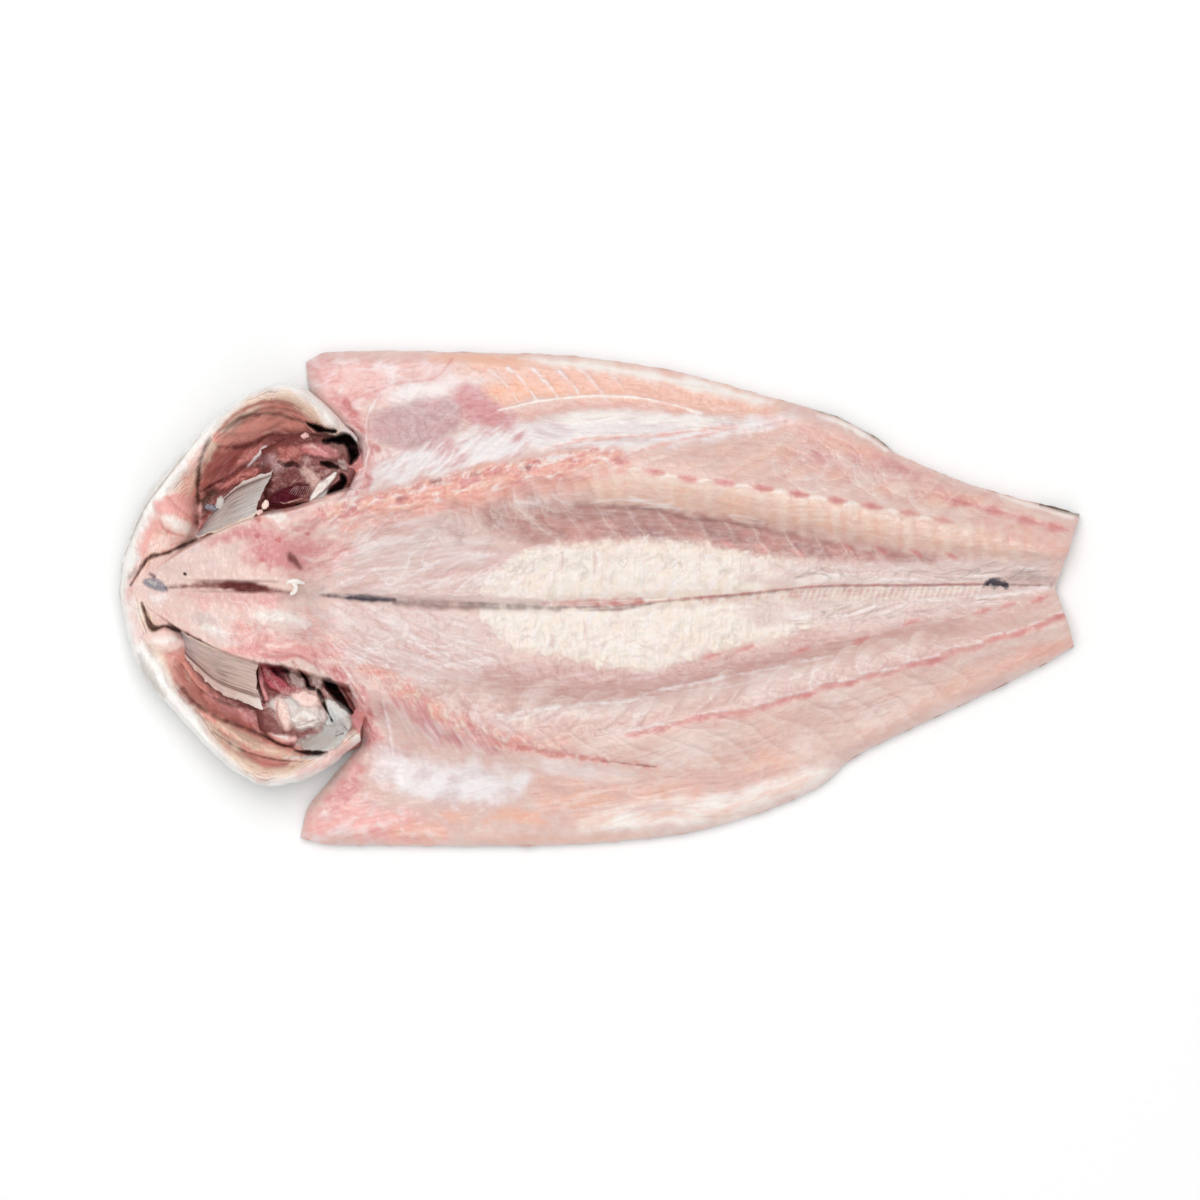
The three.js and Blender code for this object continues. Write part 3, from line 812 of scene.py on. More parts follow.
def flesh_material(palette):
    """Wet muscle: painted tone, pale lines between flakes, fibres across the fat and a glossy film."""
    g = Graph("meagre_flesh")
    tone = g.attribute("tone", "Color")
    fat, dull = g.attribute("fat"), g.attribute("dull")
    lean = 1 - fat
    waver = g.noise(55, 3)
    step = g.node("ShaderNodeMath", {"operation": "FRACT"}, {0: g.attribute("phase") + 0.3 * waver})
    between = g.node("ShaderNodeMath", {"operation": "ABSOLUTE"}, {0: step - 0.5})
    septum = g.band(between, 0.44, 0.5) * g.attribute("flakes") * g.band(g.noise(45, 2, turn=0.9), 0.35, 0.6)
    tone = g.mix(septum * 0.7, tone, opaque(palette.septum))
    mottle = g.noise(240, 5)
    tone = g.mix(g.band(mottle, 0.45, 0.75) * (1 - dull) * 0.1, tone, opaque(palette.septum))
    blush = g.noise(120, 5, turn=0.4)
    tone = g.mix(g.band(blush, 0.5, 0.8) * lean * 0.16, tone, opaque(palette.collar_red))
    fibre = g.noise(260, 4, (4.5, 0.55, 1))
    tone = g.mix(g.band(fibre, 0.5, 0.72) * fat * 0.14, tone, opaque(palette.fat_grey))
    weave = g.noise(420, 4, (0.35, 2.2, 1), 0.2)
    tone = g.mix(g.band(weave, 0.54, 0.7) * lean * (1 - dull) * 0.08, tone, opaque(palette.pearl))
    fibres = g.attribute("fibres") * (1 - dull)
    flow = {"X": 0.025 * g.attribute("fibre_along"), "Y": 0.3 * g.attribute("fibre_across")}
    streak = g.noise_at(g.node("ShaderNodeCombineXYZ", {}, flow), 1.0, 4.0, 0.6)
    tone = g.mix(g.band(streak, 0.52, 0.7) * fibres * 0.5, tone, opaque(palette.pearl))
    tone = g.mix((1 - g.band(streak, 0.32, 0.5)) * fibres * 0.4, tone, opaque(palette.dusk), "MULTIPLY")
    film = g.noise(190, 3, turn=1.1)
    roughness = 0.26 + 0.3 * film + 0.1 * fat + 0.4 * dull
    height = 0.5 * fibre * fat + 0.5 * weave * lean + 0.7 * mottle + 0.6 * septum + 0.8 * streak * fibres
    wet = {"Coat Weight": 0.3 - 0.3 * dull, "Metallic": dull}
    return g.finish(tone, roughness, height, 0.5, 0.001, {**WET_FLESH, **wet})


def tissue_material(palette):
    """Wet tissue of the head and gills: painted tone with fine mottling."""
    g = Graph("meagre_tissue")
    tone = g.attribute("tone", "Color")
    dull = g.attribute("dull")
    mottle = g.noise(230, 5)
    tone = g.mix(g.band(mottle, 0.42, 0.75) * (0.1 - 0.1 * dull), tone, opaque(palette.septum))
    stain = g.noise(120, 4, turn=0.7)
    tone = g.mix(g.band(stain, 0.55, 0.8) * 0.12, tone, opaque(palette.dark_blood_and_shade))
    fine = g.noise(700, 3)
    roughness = 0.24 + 0.3 * mottle + 0.4 * dull
    wet = {"Coat Weight": 0.3 - 0.3 * dull, "Metallic": dull}
    return g.finish(tone, roughness, mottle + 0.5 * fine, 0.4, 0.0008, {**WET_FLESH, **wet})


def skin_material(palette):
    """Silver skin with rows of small scales and a painted sheen."""
    g = Graph("meagre_skin")
    tone = g.attribute("tone", "Color")
    scales = g.node(
        "ShaderNodeTexVoronoi", {"feature": "F1"},
        {"Vector": g.coordinates((0.8, 1.25, 1), 0.785), "Scale": 330, "Randomness": 0.35}, "Distance",
    )
    edge = g.band(scales, 0.3, 0.75)
    tone = g.mix(edge * 0.45, tone, opaque(palette.skin_back))
    sheen = g.noise(60, 4, (0.5, 2, 1))
    tone = g.mix(g.band(sheen, 0.45, 0.8) * 0.35, tone, opaque(palette.rim))
    roughness = 0.26 + 0.2 * edge
    return g.finish(tone, roughness, 1 - scales, 0.5, 0.0008, SCALY)


# Places on the photograph, as lines of (u, v, half width)

AREAS = {
    "whole": ((290, 600, 260), (1090, 600, 260)),
    "fat": (
        (508, 603, 26), (528, 602, 45), (565, 601, 54), (640, 604, 64), (700, 598, 53), (760, 598, 41),
        (820, 593, 27), (880, 589, 14), (940, 586, 6), (1000, 583, 2),
    ),
    "fat_top": ((500, 566, 14), (620, 560, 18), (740, 562, 12)),
    "fat_foot": ((510, 640, 14), (620, 650, 14), (740, 632, 14)),
    "fat_tail": ((770, 594, 34), (850, 590, 26), (930, 586, 18), (1010, 582, 10)),
    "grey_far": ((270, 566, 14), (310, 562, 30), (345, 558, 34), (400, 554, 42), (470, 564, 32)),
    "grey_near": ((270, 624, 14), (310, 628, 26), (345, 638, 34), (400, 642, 40), (470, 650, 28)),
    "torn_far": ((440, 530, 12), (485, 518, 18), (535, 508, 15), (580, 498, 7)),
    "torn_near": ((430, 688, 12), (480, 700, 16), (540, 712, 15), (630, 716, 10)),
    "valley_far": (
        (500, 518, 13), (545, 525, 20), (620, 527, 18), (700, 532, 16), (780, 543, 13), (850, 553, 8),
        (930, 561, 5),
    ),
    "valley_far_tail": ((640, 530, 10), (700, 536, 10), (760, 545, 8), (820, 552, 5)),
    "valley_near": (
        (500, 676, 16), (560, 684, 20), (640, 684, 17), (720, 668, 15), (800, 652, 10), (880, 634, 7),
        (960, 618, 5),
    ),
    "ledge": (
        (585, 490, 8), (640, 491, 14), (720, 501, 15), (800, 513, 15), (880, 527, 14), (960, 540, 11),
        (1040, 552, 8),
    ),
    "ledge_top": ((610, 478, 4), (660, 482, 6), (740, 492, 6), (820, 503, 6), (900, 517, 5), (980, 532, 4)),
    "flank_far": (
        (610, 455, 10), (700, 462, 16), (790, 458, 26), (860, 470, 22), (940, 495, 18), (1030, 522, 12),
    ),
    "flank_near": (
        (560, 732, 20), (640, 738, 26), (720, 742, 30), (800, 728, 30), (880, 702, 24), (960, 674, 16),
    ),
    "step_near": (
        (520, 722, 14), (600, 718, 16), (680, 706, 12), (760, 690, 11), (850, 668, 10), (950, 640, 9),
    ),
    "swirls": ((780, 470, 10), (850, 468, 18), (920, 488, 15), (990, 508, 9)),
    "strip": ((330, 514, 9), (390, 504, 12), (450, 489, 13), (515, 475, 13), (565, 465, 11), (612, 456, 6)),
    "strip_foot": (
        (350, 528, 8), (400, 514, 10), (460, 502, 10), (530, 490, 9), (590, 478, 8), (625, 470, 5),
    ),
    "strip_edge": ((380, 497, 3), (440, 482, 4), (485, 473, 4), (530, 466, 5), (575, 456, 4), (600, 450, 2)),
    "strip_window": ((549, 460, 2), (558, 459, 3.2), (566, 457, 2)),
    "collar_far": ((314, 368, 12), (345, 384, 26), (392, 370, 15), (440, 364, 9)),
    "collar_far_red": ((336, 398, 5), (350, 412, 8), (360, 432, 6)),
    "collar_far_pit": ((347, 404, 2.5), (353, 414, 3)),
    "collar_far_line": ((453, 359, 0.6), (436, 378, 0.9), (400, 384, 0.8), (376, 392, 0.6)),
    "collar_far_pale": ((335, 366, 3), (370, 368, 5), (410, 374, 4)),
    "collar_near": ((310, 832, 10), (345, 815, 22), (395, 826, 16), (440, 834, 8)),
    "collar_near_red": ((336, 802, 7), (348, 788, 9), (358, 770, 6)),
    "collar_near_pale": ((335, 806, 3), (370, 806, 5), (400, 812, 3)),
    "neck_ring": ((338, 424, 2), (356, 432, 3.5), (367, 450, 4), (362, 474, 4), (352, 496, 4)),
    "neck_mid": ((252, 552, 14), (296, 556, 22), (326, 553, 18), (345, 548, 8)),
    "neck_mid_near": ((290, 628, 12), (318, 640, 12), (340, 654, 8)),
    "tail_streaks": ((800, 572, 8), (900, 576, 8), (980, 572, 8), (1040, 570, 6)),
    "tail_streaks_near": ((800, 622, 10), (900, 606, 8), (1000, 596, 5)),
    "fold_lines": ((384, 700, 1), (390, 728, 1.6), (394, 756, 1)),
    "neck_far": ((350, 508, 7), (358, 486, 8), (366, 464, 8), (364, 442, 7)),
    "neck_near": ((308, 650, 6), (330, 660, 9), (350, 686, 12), (364, 712, 11), (372, 736, 8)),
    "band_far": ((392, 394, 5), (440, 387, 8), (480, 379, 6), (520, 372, 4)),
    "panel": ((384, 428, 15), (415, 424, 24), (444, 416, 17)),
    "panel_shine": ((398, 400, 4), (424, 394, 8), (444, 392, 5)),
    "panel_edge": ((380, 396, 0.8), (369, 416, 1.3), (367, 438, 1.2), (374, 458, 0.8)),
    "orchid": ((462, 398, 10), (482, 410, 17), (508, 424, 9)),
    "streaks_far": ((372, 478, 10), (410, 466, 16), (460, 452, 18), (520, 441, 14)),
    "ribs": ((496, 393, 8), (535, 387, 12), (590, 388, 9), (640, 396, 6)),
    "ribs_line": (
        (499, 411, 0.7), (520, 406, 1.2), (540, 402, 0.9), (593, 397, 1.3), (648, 400, 1.1), (702, 414, 0.6),
    ),
    "ribs_foot": ((520, 414, 4), (600, 406, 4), (680, 413, 3)),
    "belly_far": ((470, 368, 9), (540, 374, 15), (620, 382, 18), (700, 396, 19), (770, 408, 10)),
    "belly_far_rim": ((520, 360, 2), (580, 365, 4), (640, 375, 4.5), (700, 387, 5), (770, 404, 3)),
    "belly_far_edge": ((430, 358, 2), (470, 359, 4), (510, 361, 3), (535, 363, 1.5)),
    "membrane": ((526, 440, 7), (560, 433, 16), (620, 431, 20), (680, 430, 16), (735, 427, 8), (790, 418, 4)),
    "membrane_shine": ((560, 421, 4), (610, 417, 6), (660, 421, 5), (710, 426, 3)),
    "vessel_low": ((545, 450, 0.8), (590, 440, 1.3), (650, 437, 1.2), (733, 427, 0.8)),
    "vessel_high": ((640, 452, 1.0), (669, 444, 1.4), (705, 436, 1.4), (742, 426, 0.8)),
    "folds_near": ((390, 704, 12), (430, 722, 20), (480, 736, 16), (520, 744, 6)),
    "lumps_near": ((368, 668, 7), (392, 680, 9), (430, 706, 8), (490, 734, 7), (560, 746, 5)),
    "panel_near": ((374, 744, 6), (395, 752, 8), (420, 756, 5)),
    "lilac_near": ((385, 764, 12), (430, 780, 20), (480, 786, 18), (520, 780, 8)),
    "lilac_near_shine": ((440, 786, 8), (462, 782, 12), (480, 790, 7)),
    "band_near": ((545, 766, 5), (600, 777, 9), (660, 786, 7), (720, 780, 4)),
    "belly_near": ((550, 796, 16), (620, 800, 20), (700, 788, 18), (780, 764, 18)),
    "rim_near": ((590, 822, 8), (660, 814, 14), (730, 802, 14), (800, 780, 9), (832, 766, 4)),
    "rim_near_foot": ((470, 836, 5), (560, 840, 5), (640, 836, 4)),
    "corner_near": ((398, 830, 7), (438, 834, 7)),
    "spot_near_left": ((444, 814, 3), (458, 816, 5), (470, 821, 3)),
    "spot_near_right": ((487, 820, 3), (515, 814, 7), (545, 822, 3)),
    "tail_rim_near": ((860, 732, 7), (940, 694, 8), (1010, 660, 9), (1068, 642, 8)),
    "tail_tip_near": ((1000, 668, 3), (1040, 652, 5), (1070, 644, 4)),
    "tail_far": ((985, 524, 9), (1040, 540, 12), (1064, 548, 9)),
    "back_far": ((770, 420, 6), (830, 440, 8), (880, 458, 5), (930, 476, 3)),
    "tail_grey_far": ((880, 570, 5), (960, 568, 8), (1035, 566, 12)),
    "tail_grey_near": ((850, 622, 10), (950, 606, 10), (1030, 592, 6)),
    "cut_near": ((496, 742, 1.6), (540, 749, 2.6), (580, 756, 1.8), (620, 762, 1.2), (655, 766, 0.8)),
    "cut_near_end": ((600, 760, 0.5), (630, 763, 0.8), (655, 766, 0.5)),
    "skin_far": ((812, 408, 1.2), (842, 417, 2.6), (872, 433, 3.4), (892, 450, 1.2)),
    "skin_far_cut": ((818, 416, 1.2), (850, 428, 2.6), (885, 450, 1.2)),
    "skin_tail": ((1040, 505, 1.2), (1062, 510, 3), (1082, 514, 4)),
    "skin_tail_cut": ((1000, 496, 1.5), (1040, 509, 2), (1070, 518, 2)),
    "edge_tail": ((900, 456, 1), (960, 479, 1.4), (1030, 503, 0.8)),
    "seam_cord": ((392, 595, 3), (470, 598, 5), (545, 602, 3.5)),
    "seam_ribbon": ((545, 603, 2), (590, 603, 4.5), (640, 601, 3)),
    "seam_navy": ((330, 596, 1.4), (365, 598, 3.2), (395, 600, 1.4)),
    "seam_brown": ((395, 603, 1.4), (440, 606, 2.2), (480, 607, 1.6), (560, 609, 1)),
    "seam_slit": ((580, 610, 0.6), (620, 609, 1.4), (650, 604, 0.6)),
    "seam_blush": ((700, 600, 4), (760, 596, 5), (830, 590, 6), (900, 592, 5)),
    "seam_spot": ((984, 584, 1.6), (995, 583, 4.2), (1006, 586, 1.2)),
    "seam_tail": ((1000, 578, 3), (1030, 577, 5), (1052, 580, 3)),
    "seam_shine": ((975, 597, 1), (1010, 593, 2), (1048, 587, 1)),
    "membrane_far": ((207, 486, 6), (222, 466, 13), (244, 455, 11), (262, 447, 6)),
    "rust_far": ((224, 440, 3), (252, 427, 9), (280, 422, 9), (306, 425, 5)),
    "orange_near": ((206, 712, 4), (230, 730, 9), (258, 745, 11), (300, 756, 5)),
    "tissue_far": ((268, 490, 12), (285, 472, 16), (315, 468, 22), (338, 462, 12)),
    "tissue_near": ((266, 670, 8), (285, 692, 24), (320, 706, 26), (345, 722, 16)),
    "jaw_far": ((190, 500, 7), (182, 520, 14), (170, 538, 11), (156, 546, 6)),
    "skull_front": ((166, 572, 8), (200, 560, 16), (240, 552, 14)),
    "skull_near": ((175, 612, 12), (215, 618, 22), (265, 622, 26), (320, 628, 22)),
    "skull_rough": ((248, 640, 14), (280, 634, 24), (320, 634, 24)),
    "skull_knobs": ((270, 519, 6), (295, 522, 10), (325, 512, 14), (356, 502, 12)),
}

# Lines of (u, v) that rows of marks follow
FAR_LEDGE = (
    (520, 506), (577, 503), (607, 505), (653, 508), (687, 517), (721, 520), (760, 528), (850, 546),
    (930, 556), (1000, 564),
)
FAR_DOTS = (
    (618, 462), (653, 473), (687, 480), (724, 484), (760, 489), (796, 495), (834, 501), (869, 507),
    (906, 514), (940, 521),
)
FAR_SECOND_DOTS = ((727, 544), (762, 548), (797, 553), (844, 547), (879, 550), (914, 553), (949, 556))
TAIL_DOTS = ((956, 502), (990, 511), (1021, 520), (1051, 527))
NEAR_MEMBRANE = (
    (500, 714), (556, 706), (595, 702), (630, 700), (652, 691), (687, 684), (721, 677), (760, 670),
    (830, 655),
)
NEAR_RED_LINE = ((630, 734), (690, 720), (760, 707), (800, 694), (900, 668), (1000, 638), (1061, 615))
NEAR_DOTS = ((712, 656), (745, 648), (800, 650), (860, 640), (910, 622), (981, 611), (1006, 605), (1038, 599))
SEAM_LINE = (
    (320, 595), (360, 598), (400, 601), (470, 604), (560, 607), (620, 606), (680, 600), (740, 595),
    (820, 587), (900, 586), (986, 585), (1050, 586),
)
# Rows of marks by u, with the scatter of their places or the reach that gives their slope
LEDGE_BANDS = {"start": 600, "end": 1030, "step": 18, "scatter": 4}
NEAR_DASHES = {"start": 636, "end": 1062, "step": 21, "reach": 12}
SEAM_STITCHES = {"start": 805, "end": 985, "step": 6}

# Single marks, as (u, v) unless the line says more
NECK_PITS = ((376, 448), (370, 478), (357, 512))
STRIP_PITS = ((526, 469), (477, 476), (436, 482), (404, 500))
FAT_CRACKS = ((562, 552, 572), (594, 548, 578), (552, 634, 648), (584, 622, 640))  # u, top v, foot v
RIBS = ((469, 0.4), (488, 0.5), (508, 0.95), (531, 1.0), (555, 0.9), (578, 0.5), (602, 0.45))  # u, strength
RIB_LINE = ((0, 369, 0.8), (9, 376, 1.5), (18, 386, 1.0), (30, 402, 0.4))  # past the rib's u, v, half width

# Broad tints of the flesh: colour, area, strength, softness, raggedness and lift
TINT_GRAIN = 22
FLESH_TINTS = (
    ("grey_flesh", "grey_far", 0.9, 40, 12, 0),
    ("grey_flesh", "grey_near", 0.9, 40, 12, 0),
    ("peach", "flank_far", 0.2, 30, 8, 0),
    ("peach", "flank_near", 0.15, 34, 10, 0),
    ("collar", "collar_far", 0.9, 30, 8, 0),
    ("skull_pink", "collar_near", 0.9, 26, 8, 0),
    ("pearl", "band_far", 0.65, 16, 6, 0.3),
    ("orchid", "orchid", 1.0, 18, 7, 0),
    ("apricot", "ribs", 1.0, 16, 6, 0),
    ("peach", "belly_far", 0.9, 22, 5, 0),
    ("cream", "belly_far_rim", 1.0, 10, 3, 0.3),
    ("apricot", "belly_far_edge", 0.7, 10, 3, 0.3),
    ("pearl", "streaks_far", 0.9, 18, 8, 0),
    ("lilac", "panel", 0.95, 12, 4, -0.6),
    ("pearl", "panel_shine", 0.6, 16, 5, 0.2),
    ("pearl", "panel_edge", 0.7, 4, 1.5, 0.6),
    ("pearl", "membrane", 0.92, 13, 5, 0.3),
    ("cream", "membrane_shine", 0.8, 9, 3, 0.3),
    ("salmon", "strip_foot", 0.9, 18, 6, 0.3),
    ("salmon", "strip", 0.9, 12, 7, 0.8),
    ("ridge", "ledge", 0.95, 18, 4, 0.5),
    ("bone", "ledge_top", 0.6, 9, 3, 0.3),
    ("mauve_and_shade", "valley_far", 0.97, 16, 5, -0.8),
    ("dusk", "valley_far_tail", 0.45, 12, 4, 0),
    ("rose", "valley_near", 0.95, 22, 7, -0.5),
    ("mauve_and_shade", "valley_near", 0.3, 18, 7, 0),
    ("lilac", "panel_near", 0.6, 14, 6, 0),
    ("pearl", "lilac_near", 0.95, 20, 8, 0.2),
    ("pearl", "lilac_near_shine", 0.8, 16, 6, 0.3),
    ("pearl", "band_near", 0.45, 14, 6, 0),
    ("peach", "belly_near", 0.9, 26, 8, 0),
    ("cream", "rim_near", 1.0, 20, 6, 0.3),
    ("peach", "rim_near_foot", 0.5, 10, 3, 0),
    ("apricot", "corner_near", 0.8, 20, 6, 0),
    ("peach", "tail_rim_near", 0.5, 18, 5, 0),
    ("salmon", "tail_tip_near", 0.5, 12, 4, 0),
    ("salmon", "tail_far", 0.4, 20, 6, 0),
    ("salmon", "back_far", 0.4, 16, 5, 0),
    ("grey_flesh", "tail_grey_far", 0.9, 16, 5, 0),
    ("grey_flesh", "tail_grey_near", 0.75, 20, 6, 0),
)

# Fine streaks: area, strength and angle
FLESH_FIBRES = (
    ("valley_far", 0.3, -6), ("valley_near", 0.4, 6), ("flank_far", 0.3, -12), ("flank_near", 0.35, 15),
    ("ledge", 0.25, -7), ("membrane", 0.5, 3), ("streaks_far", 0.35, 38), ("folds_near", 0.45, -58),
    ("belly_near", 0.4, 10), ("rim_near", 0.35, 14), ("belly_far", 0.3, -8), ("collar_far", 0.4, 22),
    ("collar_near", 0.4, 8), ("lilac_near", 0.25, 20), ("strip_foot", 0.35, 16), ("tail_rim_near", 0.35, 28),
)

# The seam and the edges of skin, in the same columns as the tints, with a grain where it is finer
SEAM_MARKS = (
    ("grey_flesh", "seam_cord", 0.75, 5, 1.5, 1.2),
    ("rose", "seam_ribbon", 0.8, 5, 2, 0.7),
)
SEAM_CUTS = (
    ("navy", "seam_navy", 0.9, 4, 1.5, -0.8),
    ("seam", "seam_brown", 0.65, 5, 1.5, -0.6),
    ("dark_blood_and_shade", "seam_slit", 0.6, 3, 1, -0.4),
    ("navy", "seam_spot", 0.95, 4, 2.6, -0.8, 6),
    ("seam", "seam_tail", 0.35, 9, 4),
    ("pearl", "seam_shine", 0.7, 5, 1, 0.4),
)
SKIN_MARKS = (
    ("cream", "skin_far_cut", 0.85, 5, 1.5),
    ("cream", "skin_tail_cut", 0.7, 5, 1.5),
    ("skin", "skin_far", 0.95, 3, 1.5),
    ("skin", "skin_tail", 0.95, 3, 1.5),
    ("apricot", "edge_tail", 0.6, 4, 1),
)


def line_v(line, u):
    """The v of a named line at some u."""
    return np.interp(u, *np.transpose([point[:2] for point in line]))


def widen(line, half_width, shift=0):
    return [(u, v + shift, half_width) for u, v in line]


# The flesh


def paint_flesh(canvas):
    """The whole upper side of the body: broad tints first, then each part over them."""
    canvas.cloud("septum", "whole", 0.3, 26, 0, 2.5, 0.3, seed=1)
    canvas.cloud("rose", "whole", 0.55, 15, 8, 3.0, 0.3, seed=2)
    for row in FLESH_TINTS:
        canvas.stroke(*row, grain=TINT_GRAIN)
    canvas.cloud("pearl", "whole", 0.14, 6, 0, 1.8, 0.3, 0.15, seed=3)
    paint_fat(canvas)
    paint_grey(canvas)
    paint_flakes(canvas)
    paint_belly(canvas)
    paint_collars(canvas)
    paint_strip(canvas)
    paint_blood(canvas)
    paint_seam(canvas)
    canvas.strokes(SKIN_MARKS)


def paint_fat(canvas):
    """The white lens of fat along the seam, fibrous across and frayed at its edges."""
    canvas.mark("fat", "fat", 1.0, 10, 5)
    canvas.stroke("fat", "fat", 0.8, 14, 6, 0.3, 26)
    canvas.stroke("fat", "fat", 0.9, 6, 7, 0.4, 9)
    canvas.cloud("fat_grey", "fat", 0.25, 6, 84, 5.0, 0.1, -0.15, seed=11)
    canvas.cloud("peach", "fat", 0.2, 16, 60, 2.0, 0.2, seed=12)
    canvas.cloud("cream", "fat", 0.35, 18, 0, 2.5, 0.3, seed=13)
    canvas.cloud("fat_grey", "fat", 0.5, 9, 25, 1.3, 0.1, -0.15, seed=23)
    canvas.cloud("pearl", "fat", 0.6, 8, 60, 1.6, 0.2, 0.15, seed=24)
    canvas.web("fat_grey", "fat_top", 0.8, 12, 70, 1.4, 0.09, -0.1, seed=14)
    canvas.web("fat_grey", "fat_foot", 0.7, 12, 70, 1.4, 0.09, -0.1, seed=15)
    canvas.web("rose", "fat", 0.25, 24, 85, 2.2, 0.05, seed=16)
    canvas.cloud("grey_flesh", "fat_tail", 0.9, 14, 8, 3.5, 0.6, seed=17)
    for area, angle, seed in (("tail_streaks", -3, 18), ("tail_streaks_near", 8, 19)):
        canvas.cloud("grey_flesh", area, 0.9, 16, angle, 3.0, 0.6, seed=seed)
        canvas.cloud("pearl", area, 0.6, 7, angle, 5.0, 0.2, 0.2, seed=seed + 5)
        canvas.web("skin", area, 0.5, 9, angle + 12, 4.0, 0.1, -0.3, seed=seed + 9)
        canvas.fibres(area, 0.7, angle)
    canvas.fibres("fat", 0.12, 84, 12)
    for u, top, foot in FAT_CRACKS:
        crack = ((u, top, 0.8), (u + 1, mix(top, foot, 0.5), 1.2), (u, foot, 0.6))
        canvas.stroke("rose", crack, 0.6, 3, 1, -0.2)


def paint_grey(canvas):
    """The fibres of the muscle behind the skull, and the torn film beside the two valleys."""
    for area, angle, seed in (("grey_far", 12, 21), ("grey_near", -22, 22)):
        canvas.cloud("rose", area, 0.85, 17, angle, 3.0, 0.35, -0.4, 30, seed)
        canvas.cloud("pearl", area, 0.5, 9, angle, 5.0, 0.25, 0.3, 30, seed + 2)
        canvas.web("pearl", area, 0.5, 11, angle + 25, 4.0, 0.1, 0.2, 30, seed + 6)
        canvas.fibres(area, 0.4, angle, 40)
    for area, facing, seed in (("torn_far", 225, 31), ("torn_near", 140, 32)):
        canvas.cloud("mauve_and_shade", area, 0.3, 17, facing, 1.6, 0.3, -0.3, 20, seed)
        # Flaps of film with painted shade at their backs and a painted highlight on their fronts
        canvas.scales("septum", "mauve_and_shade", area, 0.5, 15, 16, facing, 0.7, seed + 3)
        canvas.web("pearl", area, 0.35, 12, facing + 60, 3.5, 0.08, 0.2, 18, seed + 5)


def paint_flakes(canvas):
    """Where lines between flakes of muscle show, the banded ledge with the painted shadow under it, and the
    films along both.
    """
    canvas.mark("flakes", "valley_far", 0.45, 10)
    canvas.mark("flakes", "flank_far", 0.35, 24)
    canvas.mark("flakes", "step_near", 0.45, 14)
    canvas.mark("flakes", "flank_near", 0.4, 26)
    draw = np.random.default_rng(40)
    places = np.arange(LEDGE_BANDS["start"], LEDGE_BANDS["end"], LEDGE_BANDS["step"])
    for u in places + draw.normal(0, LEDGE_BANDS["scatter"], places.size):
        top, foot = line_v(FAR_DOTS, u) + 6, line_v(FAR_LEDGE, u) - 4
        half = draw.uniform(2, 5)
        pale = ((u, top, half), (u + 3, foot, half))
        canvas.stroke("bone", pale, draw.uniform(0.2, 0.7), 9, 4, 0.3, 9)
        pink = ((u + 9, top + 3, 0.8), (u + 11, foot, 0.8))
        canvas.stroke("salmon", pink, draw.uniform(0, 0.5), 6, 3, -0.2, 9)
    canvas.cloud("apricot", "ledge", 0.35, 14, -8, 2.0, 0.2, seed=41)
    # Painted shadow under the far ledge
    canvas.stroke("mauve_and_shade", widen(FAR_LEDGE[1:8], 2.5, 4), 0.8, 6, 2, -0.5)
    canvas.stroke("dusk", widen(FAR_LEDGE[2:7], 1.2, 2), 0.6, 4, 2, -0.5)
    canvas.web("pearl", widen(FAR_LEDGE[:7], 5, -3), 0.8, 8, -6, 7.0, 0.25, 0.4, 6, 42)
    canvas.cloud("salmon", "valley_far", 0.3, 16, -8, 3.0, 0.3, seed=43)
    # Flaps of film with painted shade at their backs and a painted highlight on their fronts
    canvas.scales("septum", "rose", "step_near", 0.7, 13, 30, 130, 0.7, 49)
    canvas.stroke("septum", widen(NEAR_MEMBRANE, 5, 6), 0.2, 12, 3, 0.5, 12)
    canvas.stroke("pearl", widen(NEAR_MEMBRANE, 0.9), 0.75, 3.5, 2.5, 0.7, 14)
    canvas.web("pearl", widen(NEAR_MEMBRANE, 7, 8), 0.6, 12, 12, 5.0, 0.16, 0.3, 8, 44)
    canvas.cloud("peach", "flank_near", 0.3, 20, 14, 3.0, 0.3, seed=45)
    canvas.cloud("septum", "flank_near", 0.5, 26, 14, 2.5, 0.3, seed=33)
    canvas.cloud("orchid", "swirls", 0.5, 13, 25, 1.7, 0.3, -0.2, seed=47)
    # Flaps of film with painted shade at their backs and a painted highlight on their fronts
    canvas.scales("septum", "orchid", "swirls", 0.6, 13, 22, 240, 0.7, 46)
    canvas.cloud("apricot", "flank_far", 0.35, 18, 10, 2.5, 0.25, seed=48)
    for area, strength, angle in FLESH_FIBRES:
        canvas.fibres(area, strength, angle)


